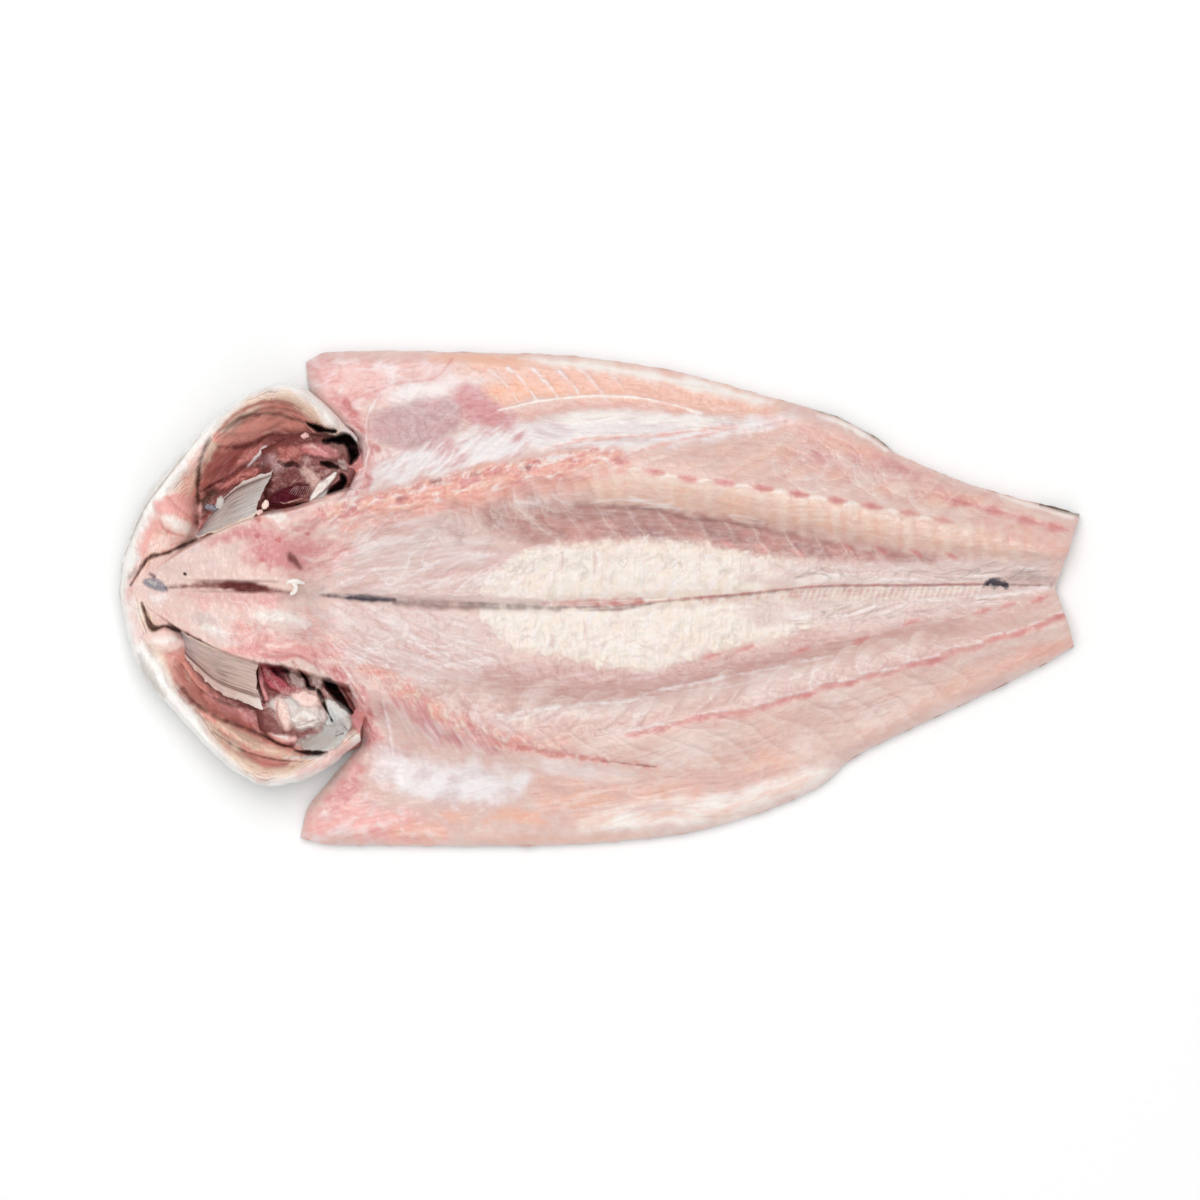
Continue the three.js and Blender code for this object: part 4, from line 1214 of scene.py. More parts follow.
def paint_belly(canvas):
    """Rib lines and membranes of the two flaps."""
    for u, strength in RIBS:
        line = [(u + past, v, half) for past, v, half in RIB_LINE]
        canvas.stroke("pearl", line, 0.8 * strength, 4, 2.4, 0.4, 9)
    canvas.stroke("cream", "ribs_line", 0.9, 3, 1, 0.5)
    canvas.stroke("salmon", "ribs_foot", 0.4, 9, 3, -0.2)
    for vessel in ("vessel_low", "vessel_high"):
        canvas.stroke("salmon", vessel, 0.75, 5, 2, -0.3)
    canvas.web("cream", "membrane", 0.7, 9, 3, 8.0, 0.2, 0.2, seed=51)
    canvas.cloud("lilac", "membrane", 0.4, 9, 4, 5.0, 0.1, seed=52)
    canvas.cloud("orchid", "panel", 0.35, 16, 20, 2.0, 0.2, seed=53)
    canvas.cloud("orchid", "streaks_far", 0.7, 10, 38, 3.0, 0.25, -0.3, seed=55)
    canvas.cloud("pearl", "streaks_far", 0.9, 7, 40, 3.5, 0.25, 0.4, seed=54)
    canvas.cloud("lilac", "lilac_near", 0.35, 18, 20, 1.5, 0.25, seed=56)
    canvas.web("cream", "belly_near", 0.4, 15, 14, 4.0, 0.12, 0.15, seed=57)
    canvas.cloud("rose", "belly_near", 0.7, 15, 10, 4.0, 0.4, seed=58)
    canvas.cloud("peach", "rim_near", 0.6, 12, 14, 4.0, 0.3, seed=59)
    canvas.cloud("orchid", "folds_near", 0.9, 15, -58, 3.0, 0.5, -0.6, seed=60)
    canvas.cloud("pearl", "folds_near", 0.3, 8, -58, 4.0, 0.1, 0.5, seed=61)
    canvas.stroke("pearl", "fold_lines", 0.6, 4, 2, 0.6)
    for spot in ("spot_near_left", "spot_near_right"):
        canvas.stroke("apricot", spot, 0.6, 9, 4)
        canvas.cloud("salmon", spot, 0.6, 7, 10, 2.0, 0.3, seed=62)


def paint_collars(canvas):
    """Pink and red of the two collars and the ragged neck."""
    for side, angle, seed in (("collar_far", 20, 71), ("collar_near", 10, 72)):
        canvas.cloud("collar_red", side, 0.5, 20, angle, 1.6, 0.25, seed=seed)
        canvas.cloud("pearl", side, 0.6, 13, angle, 1.6, 0.2, 0.2, seed=seed + 3)
        canvas.web("collar_red", side, 0.3, 26, angle, 2.5, 0.06, -0.15, seed=seed + 5)
        canvas.web("pearl", f"{side}_pale", 0.8, 9, -12, 4.0, 0.25, 0.2, 10, seed + 9)
        canvas.stroke("collar_red", f"{side}_red", 0.8, 14, 6, -0.4)
        canvas.knobs("collar", "collar_red", f"{side}_red", 0.7, 10, angle, 1.3, 0.4, 12, seed + 11)
    canvas.stroke("blood", "collar_far_pit", 0.75, 6, 3, -0.6)
    canvas.stroke("collar_red", "collar_far_line", 0.65, 3, 1.2, -0.3)
    for area, angle, seed in (("neck_far", 70, 75), ("neck_near", -50, 76)):
        canvas.stroke("collar_red", area, 0.85, 12, 6, 0.5)
        canvas.knobs("collar", "blood", area, 0.7, 9, angle, 1.8, 0.9, 10, seed)
        canvas.cloud("cream", area, 0.7, 7, angle, 2.2, 0.1, 0.5, 10, seed + 3)
    canvas.cloud("salmon", "lumps_near", 0.9, 14, -30, 1.6, 0.55, 0.5, 16, 78)
    canvas.knobs("bone", "collar_red", "lumps_near", 0.6, 7, -30, 1.5, 0.8, 12, 79)
    for area, angle, seed in (("neck_mid", 14, 85), ("neck_mid_near", -24, 86)):
        canvas.stroke("skull_pink", area, 0.55, 24, 10, 0, 12)
        canvas.cloud("collar_red", area, 0.6, 9, angle, 2.0, 0.3, -0.3, 16, seed)
        canvas.cloud("pearl", area, 0.6, 6, angle, 2.6, 0.15, 0.3, 16, seed + 2)
        canvas.fibres(area, 0.9, angle, 30)
    canvas.stroke("cream", "skull_knobs", 0.22, 14, 5, 0.4)
    canvas.knobs("cream", "collar_red", "skull_knobs", 0.6, 14, 15, 1.6, 0.9, 12, 87)
    canvas.stroke("collar", "neck_ring", 0.9, 5, 2, 1.0)
    canvas.stroke("pearl", "neck_ring", 0.35, 3, 2, 0.4)
    for u, v in NECK_PITS:
        canvas.stroke("blood", ((u - 2, v - 2, 1.6), (u + 2, v + 1, 2)), 0.7, 5, 2, -0.6, 8)


def paint_strip(canvas):
    """The raised raw strip from the skull along the far rib ends, torn along its upper side."""
    canvas.knobs("peach", "collar_red", "strip", 0.8, 8, 18, 2.0, 0.7, 8, 82)
    canvas.knobs("cream", "collar_red", "strip_edge", 0.6, 6, 18, 1.8, 0.9, 6, 83)
    canvas.cloud("cream", "strip", 0.7, 6, 18, 2.5, 0.0, 0.5, 8, 84)
    canvas.stroke("pearl", "strip_window", 0.8, 5, 2, -0.3)
    for u, v in STRIP_PITS:
        canvas.stroke("dark_blood_and_shade", ((u - 4, v, 1), (u + 4, v - 1, 1.6)), 0.5, 5, 2, -0.7)


def dash(canvas, u, v, slope, half, strength):
    """One red mark of a cut vessel, deepest at its back end."""
    line = ((u - half, v - slope * half, 0.8), (u, v, half * 0.3), (u + half, v + slope * half, 0.8))
    canvas.stroke("salmon", line, 0.6 * strength, 9, 1.2, 0, 9)
    canvas.stroke("collar_red", line, 0.9 * strength, 6, 1.2, -0.25, 9)
    canvas.stroke("blood", line[1:], 0.4 * strength, 5, 1, 0, 9)


def paint_blood(canvas):
    """Rows of red marks where vessels and pin bones were cut, with painted highlights beside them."""
    for u, v in FAR_DOTS:
        dash(canvas, u, v, 0.14, 10, 0.9 if u < 880 else 0.6)
        # A painted highlight on the cut bone just before each dot
        bone = ((u - 26, v - 2, 0.8), (u - 18, v - 3, 1.6), (u - 10, v - 1, 0.8))
        canvas.stroke("cream", bone, 0.7, 4, 1.5, 0.3)
    for u, v in FAR_SECOND_DOTS:
        dash(canvas, u, v, 0.5, 5, 0.8)
    for u, v in TAIL_DOTS:
        dash(canvas, u, v, 0.22, 15, 0.7)
    for u, v in NEAR_DOTS:
        dash(canvas, u, v, -0.35, 7, 0.65)
    draw = np.random.default_rng(81)
    reach = NEAR_DASHES["reach"]
    for u in np.arange(NEAR_DASHES["start"], NEAR_DASHES["end"], NEAR_DASHES["step"]):
        slope = (line_v(NEAR_RED_LINE, u + reach) - line_v(NEAR_RED_LINE, u - reach)) / (2 * reach)
        v = line_v(NEAR_RED_LINE, u) + draw.uniform(-2, 2)
        dash(canvas, u, v, slope, draw.uniform(9, 14), draw.uniform(0.4, 0.9))
        shine = ((u - 9, v - 5 - 9 * slope, 0.8), (u + 6, v - 4 + 6 * slope, 1))
        canvas.stroke("pearl", shine, 0.5, 3, 1.5, 0.3)
    canvas.stroke("salmon", "cut_near", 0.6, 14, 5, 0, 8)
    canvas.stroke("blood", "cut_near", 0.5, 4, 3, -0.5, 8)
    canvas.stroke("dark_blood_and_shade", "cut_near_end", 0.5, 2.5, 0.8, -0.4)


def paint_seam(canvas):
    """The line where the backbone lay."""
    canvas.strokes(SEAM_MARKS)
    canvas.cloud("blood", "seam_ribbon", 0.7, 8, 0, 2.0, 0.3, -0.3, 5, 91)
    canvas.stroke("seam", widen(SEAM_LINE, 0.9), 0.65, 3, 1, -0.6, 8)
    canvas.stroke("blood", widen(SEAM_LINE[5:11], 0.7, -1), 0.65, 2.5, 0.8)
    canvas.cloud("blood", "seam_blush", 0.4, 6, 60, 1.8, 0.2, 0, 6, 92)
    for u in range(SEAM_STITCHES["start"], SEAM_STITCHES["end"], SEAM_STITCHES["step"]):
        v = line_v(SEAM_LINE, u)
        canvas.stroke("cream", ((u, v + 3, 0.9), (u - 4, v + 12, 0.6)), 0.5, 2.5, 0.8, 0.3)
        canvas.stroke("rose", ((u + 3, v + 3, 0.6), (u - 1, v + 11, 0.5)), 0.4, 2, 0.5, -0.1)
    canvas.strokes(SEAM_CUTS)


FLESH_BASE = 2.6
LEAST_FLESH = 0.1
FLESH_PARTS = {"front": (0, 0.5), "back": (0.5, 1)}
EDGE_WAVE = {"reach": 0.4, "grain": 9, "seed": 3}
EDGE_ZONE = {"start": 0.9, "run": 0.1}  # shares of the way from the seam to the edge
NECK_DIP = {"depth": 1.6, "run": 6}
NECK_LIP = {"drop": 9, "run": 6}
FLESH_WAVES = ((0.35, 8, 5), (0.14, 2.4, 6))  # height, grain and seed
FLAKE_STEP = 14.5
FLAKE_BEND = {"reach": 4, "grain": 30, "seed": 95}
FLAKE_SWELL = {"height": 0.7, "middle": 0.3}
FLAKE_SHADE = {"strength": 0.2, "run": 0.35}  # run and start as shares of a flake
FLAKE_SHINE = {"strength": 0.25, "start": 0.5, "run": 0.4}
FLAKE_LEAN = {"inside": 0.9, "outside": 1.8, "reach": 26, "inset": 6}


def flake_phase(x, y):
    """Counts the flakes of muscle from head to tail: chevrons that point to the head at the ridge."""
    beyond = np.abs(y - along(SEAM_Y, x)) - along(RIDGE_OFFSET, x) + FLAKE_LEAN["inset"]
    outside = FLAKE_LEAN["reach"] * np.tanh(np.maximum(beyond, 0) / FLAKE_LEAN["reach"])
    lean = FLAKE_LEAN["inside"] * np.maximum(-beyond, 0) + FLAKE_LEAN["outside"] * outside
    bend = FLAKE_BEND["reach"] * ripple(x, y, FLAKE_BEND["grain"], FLAKE_BEND["seed"])
    return (x - lean + bend) / FLAKE_STEP


def paint_bulges(canvas, phase):
    """Swells each flake of muscle between its two lines, with painted shade just past each line and a painted
    highlight over the flake's back half.
    """
    share = phase - np.floor(phase)
    groove = (1 - 4 * share * (1 - share)) ** 3
    flakes = canvas.marks["flakes"]
    canvas.lift += FLAKE_SWELL["height"] * flakes * (FLAKE_SWELL["middle"] - groove)
    # Painted shade just past each line between flakes, and a painted highlight over each flake's back half
    canvas.lay("dusk", FLAKE_SHADE["strength"] * flakes * smooth(1 - share / FLAKE_SHADE["run"]))
    shine = smooth((share - FLAKE_SHINE["start"]) / FLAKE_SHINE["run"])
    canvas.lay("septum", FLAKE_SHINE["strength"] * flakes * shine)
    canvas.marks["phase"] = phase


def neck_drop(far, x, y):
    """How far the flesh drops at its front: a little under the skull, more beside it, as a rounded lip."""
    neck, collar = (FAR_NECK, FAR_COLLAR) if far else (NEAR_NECK, NEAR_COLLAR)
    lip = gap(path(neck + collar[:1], EDGE_STEPS), x, y)
    skull = skull_share(x, y)
    under = NECK_DIP["depth"] * smooth(1 - (x - NECK_X) / NECK_DIP["run"])
    beside = NECK_LIP["drop"] * (1 - rounded(lip, NECK_LIP["run"]))
    return mix(beside, under, skull)


def near_edge(t):
    """0 over most of a half of the body, rising to 1 at its outer edge."""
    return smooth((t - EDGE_ZONE["start"]) / EDGE_ZONE["run"])


def make_flesh(far, part, sizes, palette, material):
    """A part of one half of the body, from the seam to the edge of its flap."""
    name = f"flesh_{'far' if far else 'near'}_{part}"
    mesh = grid_slab(name, sizes.flesh_along, sizes.flesh_across, sharp_walls=True)
    s, t, low = slab_shares(mesh)
    x, y = half_plan(far, mix(*FLESH_PARTS[part], s), t).T
    wave = EDGE_WAVE["reach"] * ripple(x, y, EDGE_WAVE["grain"], EDGE_WAVE["seed"]) * near_edge(t)
    y = y + (wave if far else -wave)
    canvas = Canvas(x, y, palette, "flesh")
    paint_flesh(canvas)
    paint_bulges(canvas, flake_phase(x, y))
    inward = np.minimum(edge_gap(x, y) / FLAP_INSET, 1)
    uneven = canvas.lift + waves(FLESH_WAVES, x, y)
    z = body_top(x, y) + uneven * inward - neck_drop(far, x, y) * inward
    set_points(mesh, x, y, np.where(low, FLESH_BASE, np.maximum(z, FLESH_BASE + LEAST_FLESH)))
    add_piece(name, mesh, canvas, material, "fish")


# The skin

BACK_BAND = {"strength": 0.85, "half_width": 34, "ragged": 5, "grain": 18, "seed": 71}
BELLY_BAND = {"strength": 0.5, "run": 60, "start": 0.6}
SKIN_OVERLAP = -0.7


def make_skin(sizes, palette, material):
    """The slab of skin under the flesh, with the dark back along its middle."""
    mesh = grid_slab("skin", sizes.skin_along, sizes.skin_across)
    s, t, high = slab_shares(mesh)
    far = half_plan(True, s, np.clip(2 * t - 1, 0, 1))
    near = half_plan(False, s, np.clip(1 - 2 * t, 0, 1))
    x, y = np.where((t > 0.5)[:, None], far, near).T
    distance = edge_gap(x, y)
    base = FLAP_EDGE_HEIGHT * (1 - rounded(distance, FLAP_UNDERCUT))
    y = y + np.sign(t - 0.5) * SKIN_OVERLAP * near_edge(np.abs(2 * t - 1))
    canvas = Canvas(x, y, palette, "skin_silver")
    ragged = BACK_BAND["ragged"] * ripple(x, y, BACK_BAND["grain"], BACK_BAND["seed"])
    side = np.abs(y - along(SEAM_Y, x)) + ragged
    canvas.lay("skin_back", BACK_BAND["strength"] * smooth(1 - side / BACK_BAND["half_width"]))
    canvas.lay("rim", BELLY_BAND["strength"] * smooth(side / BELLY_BAND["run"] - BELLY_BAND["start"]))
    canvas.lay("flesh", high)
    set_points(mesh, x, y, np.where(high, sizes.skin_depth / MM, base))
    add_piece("skin", mesh, canvas, material, "fish")


# The head

# The width of the white skin round the gill covers
RIM_BAND = (
    (SNOUT_X, 5), (-200, 8), (-190, 9), (-178, 8), (-165, 4.5), (-150, 2.8), (-140, 2.8), (-130, 4.5),
    (-118, 4), (-106, 3),
)
COVER_BANDS = (("wall_peach", -3, 8), ("wall_orange", 4, 20), ("wall_brown", 16, 40))  # colour, start, end
# Lines along the walls: colour, spacing, share of the spacing and strength
COVER_LINES = (("wall_brown", 1.2, 0.3, 0.6), ("dark_streak_and_shade", 2.9, 0.14, 0.65))
COVER_STRENGTH = 0.9
COVER_LENGTH = 240  # millimetres round the rim of a half of the head
COVER_WAVER = {"rim": 1.3, "bands": 1.5, "skin": 1.2, "lines": 1.2, "fine_lines": 0.5}
COVER_EASE = {"bands": 4, "skin": 6, "lines": 5}
LINE_REACH = 13  # how deep under the rim the dark lines run
LINE_SHIFT = 0.37
LINE_SINK = 0.25
WALL_FIBRES = {"strength": 0.2, "start": -186, "run": 12}
NECK_BLEND = {"start": 302, "run": 42, "ragged": 28, "grain": 5, "seed": 143}

# Marks of the head by name: colour, strength, softness, lift and line

COVER_MARKS = {
    "floor_far": (
        "cavity", 0.95, 14, 0,
        ((226, 488, 14), (248, 464, 16), (280, 464, 24), (312, 458, 27), (342, 454, 16)),
    ),
    "floor_near": (
        "cavity", 0.95, 14, 0,
        ((210, 668, 12), (240, 690, 16), (275, 696, 22), (312, 702, 26), (345, 718, 16)),
    ),
    "membrane": ("wall_brown", 0.9, 10, 0.4, ((207, 486, 6), (222, 466, 12), (244, 456, 10), (260, 450, 6))),
    "rust_far": ("wall_orange", 0.75, 8, 0.3, ((230, 438, 3), (252, 428, 6), (280, 424, 6), (304, 425, 3))),
    "shade_far": (
        "dark_blood_and_shade", 0.65, 10, -0.3,
        ((238, 447, 2), (262, 441, 4), (285, 439, 6), (304, 438, 5)),
    ),
    "inner_pink": ("wall_orange", 0.5, 12, 0.2, ((186, 498, 3), (192, 478, 4), (205, 450, 4))),
    "lump_wall": ("wall_orange", 0.9, 4, 0.8, ((219, 441, 2.4), (223, 439, 4.4), (227, 437, 2.4))),
    "line_far": (
        "dark_streak_and_shade", 0.75, 4, -0.4,
        ((222, 434, 0.8), (246, 419, 1.4), (272, 415, 1.6), (300, 421, 1.4), (312, 427, 1)),
    ),
    "streak_far": (
        "wall_brown", 0.8, 3, -0.3,
        ((218, 438, 0.5), (238, 418, 1.4), (262, 406, 1.8), (288, 404, 1.4), (304, 411, 0.6)),
    ),
    "streak_far_low": (
        "dark_streak_and_shade", 0.55, 2.5, -0.3,
        ((220, 440, 0.5), (242, 423, 1), (266, 411, 1.2), (290, 411, 1), (304, 417, 0.5)),
    ),
    # Painted shadow along the foot of the far cover's inner wall
    "shadow_edge_far": (
        "dark_blood_and_shade", 0.75, 5, -0.5,
        ((222, 448, 1), (240, 448, 2.2), (256, 445, 2.6), (268, 437, 1.6), (290, 436, 1.2)),
    ),
    # Painted shadow in the gap between the far jaw, the gill cover and the plate's front end
    "shadow_inner_far": (
        "dark_streak_and_shade", 0.9, 5, -0.8,
        ((198, 522, 2), (199, 500, 2.2), (201, 478, 1.6), (206, 456, 1.4), (214, 440, 0.8)),
    ),
    "shadow_gap_far": ("dark_streak_and_shade", 0.95, 8, -1.5, ((202, 514, 5), (207, 502, 7), (214, 493, 4))),
    "fold_wall": (
        "dark_blood_and_shade", 0.85, 3, -0.6,
        ((203, 492, 0.8), (216, 484, 1.3), (229, 478, 1.4), (241, 470, 1.4), (251, 463, 1)),
    ),
    "lump_low": ("wall_brown", 0.9, 5, 1, ((222, 489, 3), (240, 479, 5), (258, 472, 5))),
    "pearl_fold": (
        "pearl", 0.85, 2.5, 0.9,
        ((249, 466, 0.6), (257, 458, 1.8), (265, 449, 2.6), (267.5, 446, 0.8)),
    ),
    "pearl_line": ("dark_streak_and_shade", 0.8, 2.5, -0.6, ((253, 466.5, 0.6), (262, 467, 1.2), (269, 470.5, 0.6))),
    "brown_near": (
        "wall_brown", 0.85, 9, -0.3,
        ((178, 668, 4), (192, 690, 8), (214, 710, 8), (238, 722, 8), (262, 728, 5)),
    ),
    "pink_near": ("collar_red", 0.65, 8, 0, ((212, 696, 3), (234, 710, 5), (256, 717, 5), (272, 726, 3))),
    "orange_near": (
        "wall_orange", 1, 8, 2.5,
        ((206, 710, 2), (226, 724, 4), (246, 736, 5.5), (272, 747, 5), (298, 755, 3)),
    ),
    "peach_near": ("wall_peach", 0.9, 8, 0, ((222, 722, 2), (246, 738, 5), (272, 749, 5), (298, 756, 2.5))),
    "brown_low": (
        "wall_brown", 0.5, 5, 0,
        ((222, 738, 1.5), (242, 752, 2.5), (270, 762, 2.5), (296, 765, 1.5)),
    ),
    "dark_near": (
        "dark_streak_and_shade", 0.7, 5, -0.4,
        ((180, 680, 0.8), (196, 700, 1.6), (218, 716, 1.6), (248, 728, 1.8), (270, 738, 0.8)),
    ),
    "dark_low": (
        "dark_streak_and_shade", 0.8, 2.5, -0.3,
        ((216, 730, 0.5), (244, 748, 0.7), (276, 758, 0.9), (306, 760, 0.6)),
    ),
    "red_near": ("skull_pink", 0.6, 7, 0, ((171, 652, 2.4), (175, 668, 3.2), (184, 684, 2))),
    "line_near": (
        "dark_streak_and_shade", 0.5, 4, -0.6,
        ((184, 664, 0.8), (204, 690, 1.2), (232, 704, 1.2), (262, 709, 0.8)),
    ),
    "end_far": ("collar_red", 0.95, 6, 0, ((352, 472, 3), (358, 462, 6), (362, 450, 4))),
    "end_near": ("collar_red", 0.95, 6, 0, ((350, 700, 3), (358, 716, 6), (362, 730, 4))),
}

# The gills and throat of the two chambers, with painted shadow in their gaps, cracks and slits
TISSUE_FAR = {
    "mauve_and_shade": ("lilac", 0.4, 6, 0.8, ((264, 464, 3), (273, 461, 6), (281, 470, 6))),
    "brown": ("wall_brown", 0.75, 8, 1.6, ((282, 451, 4), (288, 455, 8), (298, 453, 7))),
    "dusky": ("dark_blood_and_shade", 0.4, 8, -0.6, ((272, 484, 4), (284, 478, 6), (300, 476, 4))),
    "mass": ("collar_red", 0.95, 6, 2.6, ((306, 448, 4), (320, 451, 6.4), (336, 456, 4))),
    "mass_shine": ("collar", 0.9, 3, 0.4, ((306, 446, 1.2), (313, 446, 2), (318, 448, 0.8))),
    "mass_blood": ("blood", 0.6, 4, -0.4, ((305, 452, 1.6), (312, 452, 2), (322, 455, 1))),
    "shadow_top": ("void", 1, 3, -4, ((308, 423, 1), (314, 427, 2.6), (323, 430.5, 3.2), (337, 433, 1.6))),
    "band_top": ("dark_streak_and_shade", 0.9, 3, -2, ((313, 435.5, 1.4), (324, 436.5, 2.2), (336, 438, 2))),
    "shadow_back": (
        "void", 1, 4, -5,
        ((326, 441.5, 1.4), (338, 441, 3.6), (348, 440, 6), (354, 447, 6), (355, 456, 4.6),
         (352, 464, 1.6)),
    ),
    "lump_back": ("plate", 0.75, 3, 2, ((340, 462, 1.6), (344, 466, 3.6), (347, 469, 2))),
    "notch_left": ("void", 0.7, 4, -2, ((281, 463, 0.6), (287, 466, 1.4), (295, 464, 1), (303, 470, 0.6))),
    "pale": ("filament", 0.65, 5, 0.8, ((304, 470, 4), (312, 478, 6), (318, 484, 5), (306, 488, 4))),
    "gap_mid": ("void", 0.95, 3, -3, ((323, 463.5, 0.8), (330, 465, 2.6), (339, 468, 1.4))),
    "bone": ("throat", 1, 3, 2.6, ((337, 474, 2), (327, 484, 4.4), (318, 493, 4), (312, 501, 1.8))),
    "bone_grey": ("throat_grey", 0.9, 2.5, 0.2, ((329, 491, 1.6), (322, 497, 2.4), (315, 502, 1.2))),
    "shadow_low": ("void", 1, 3, -4, ((343, 476, 1.2), (345, 482, 3), (339, 488, 3.8), (332, 493, 2.4))),
    "gill": ("gill", 1, 5, 2, ((271, 503, 3.4), (284, 498, 8), (297, 492, 7), (309, 487, 3))),
    "gill_foot": ("dark_blood_and_shade", 0.9, 3, -1, ((273, 507, 2), (286, 508, 4), (300, 507, 3))),
    "gill_gap": ("void", 0.85, 3, -2, ((298, 505.5, 1), (305, 505, 2.2), (312, 503, 0.8))),
    "gill_line": (
        "filament", 0.9, 1.4, 0.8,
        ((282.4, 502.8, 0.4), (286, 504, 0.6), (294, 502, 0.5), (304, 499, 0.4)),
    ),
}
TISSUE_NEAR = {
    "band": ("collar_red", 0.9, 3, 1.6, ((259.5, 658, 1.6), (262, 678, 2.6), (268, 698, 2.4))),
    "band_line": ("dark_streak_and_shade", 0.9, 2, -1.5, ((257.5, 665, 0.6), (259.6, 682, 0.9), (266, 702, 0.7))),
    "gill": ("gill_pink", 1, 4, 2, ((267, 660, 3), (271, 676, 7), (281, 684, 7), (291, 691, 5))),
    "gill_dark": ("gill", 0.9, 7, -0.6, ((268, 659, 2), (276, 666, 5.4), (284, 671, 3))),
    "gill_gap": ("void", 0.85, 4, -2, ((281, 663, 1.4), (287, 667, 2.6), (290, 671, 1.2))),
    "pale_ground": ("throat", 0.8, 10, 0.8, ((278, 703, 6), (298, 711, 15), (318, 716, 10))),
    "lump": ("plate", 0.7, 6, 2.6, ((294, 675, 3.4), (300, 681, 6.4), (304, 687, 3))),
    "lump_rose": ("orchid", 0.7, 4, 0.4, ((297, 688, 2.4), (306, 691, 2.2))),
    "crack": (
        "void", 1, 2, -3,
        ((296, 661.5, 0.8), (303, 671.5, 1.2), (308, 679, 1.3), (310.5, 686.4, 1.7), (316, 688, 1.2)),
    ),
    "dusky": ("plate", 0.7, 6, 2.6, ((314, 667, 4), (318, 678, 6.4), (319, 687, 3.4))),
    "void": (
        "void", 1, 3, -5,
        ((319, 663, 1.6), (326, 674, 3.2), (332, 684, 4.8), (339, 695, 4.4), (346, 705, 3), (353, 712, 1)),
    ),
    "grey": ("throat_grey", 1, 4, 2.4, ((331, 702, 4), (341, 719, 12), (330, 738, 11), (308, 744, 5))),
    "grey_shine": ("throat", 0.5, 6, 0.4, ((330, 700, 1.6), (340, 709, 4), (351, 724, 3))),
    "grey_shade": ("rim_grey", 0.9, 8, -0.3, ((300, 744, 3), (318, 740, 6), (338, 742, 6))),
    "crack_grey": (
        "void", 0.9, 2, -2,
        ((319.7, 690, 2), (323, 698, 1.7), (326, 705, 0.9), (330, 713, 0.8), (333.6, 720, 0.8)),
    ),
    "crack_low": ("seam", 0.9, 1.6, -0.8, ((338, 734.5, 0.6), (345, 732, 0.7))),
    "crack_side": ("seam", 0.8, 1.6, -0.6, ((346, 725, 0.5), (350.5, 730, 0.6))),
    "lump_pink": ("jaw", 0.95, 7, 2.6, ((297, 695, 4), (309, 698, 8), (319, 702, 4))),
    "lump_grey": ("throat_grey", 0.6, 6, 0.3, ((293, 699, 2.4), (299, 704, 4))),
    "folds": ("jaw", 0.9, 7, 1.8, ((282, 699, 3.4), (284, 712, 5.4), (288, 726, 4))),
    "fold_line": ("collar_red", 0.6, 1.8, -0.6, ((279, 699, 0.5), (278, 712, 0.6), (283, 727, 0.4))),
    "white": ("throat", 1, 6, 2.6, ((297, 719, 4), (305, 714, 5.4), (316, 717, 4))),
    "white_low": ("throat", 0.9, 5, 1.6, ((300, 727, 2), (311, 725, 3), (320, 721, 2))),
    "white_crease": ("seam", 0.35, 1.6, -0.8, ((300, 725, 0.4), (311, 721.5, 0.6), (321, 718.5, 0.4))),
    "flap": ("collar", 0.95, 4, 1.6, ((270, 733, 1), (281, 737, 3.8), (295, 739, 3.6))),
    "flap_shine": ("throat", 0.8, 3, 0.3, ((276, 734.5, 1), (288, 737, 2))),
    "flap_edge": ("dark_streak_and_shade", 0.8, 2, -0.8, ((266, 735, 0.5), (280, 743.5, 0.7), (296, 747.5, 0.8))),
    "slit": (
        "void", 0.95, 2.5, -2.4,
        ((297, 749.5, 0.8), (310, 751.5, 2.2), (322, 751.5, 2), (330, 750.5, 0.8)),
    ),
    "scrap": ("throat", 0.9, 2, 0.6, ((286, 756, 1), (295, 756.5, 1.7), (302, 755.5, 1))),
    "scrap_grey": ("throat_grey", 0.8, 2, 0.6, ((304, 756, 1.2), (318, 755.5, 1.8), (329, 754, 1))),
    "fringe": (
        "skull_pink", 0.6, 10, 0.5,
        ((300, 772, 1.6), (322, 763, 3.4), (340, 752, 4), (352, 743, 3.6)),
    ),
}
# Rows of fine pale lines on the gills: first line's two ends as (u, v), last line's two ends, count, strength
GILL_COMBS = (
    (((291, 494), (297, 486.5)), ((308, 498), (312, 487)), 9, 0.35),
    (((264.5, 670), (268.5, 668.5)), ((281, 690), (280.5, 685.5)), 13, 0.4),
    (((281, 687), (284, 694)), ((296, 686), (294, 693)), 9, 0.5),
)

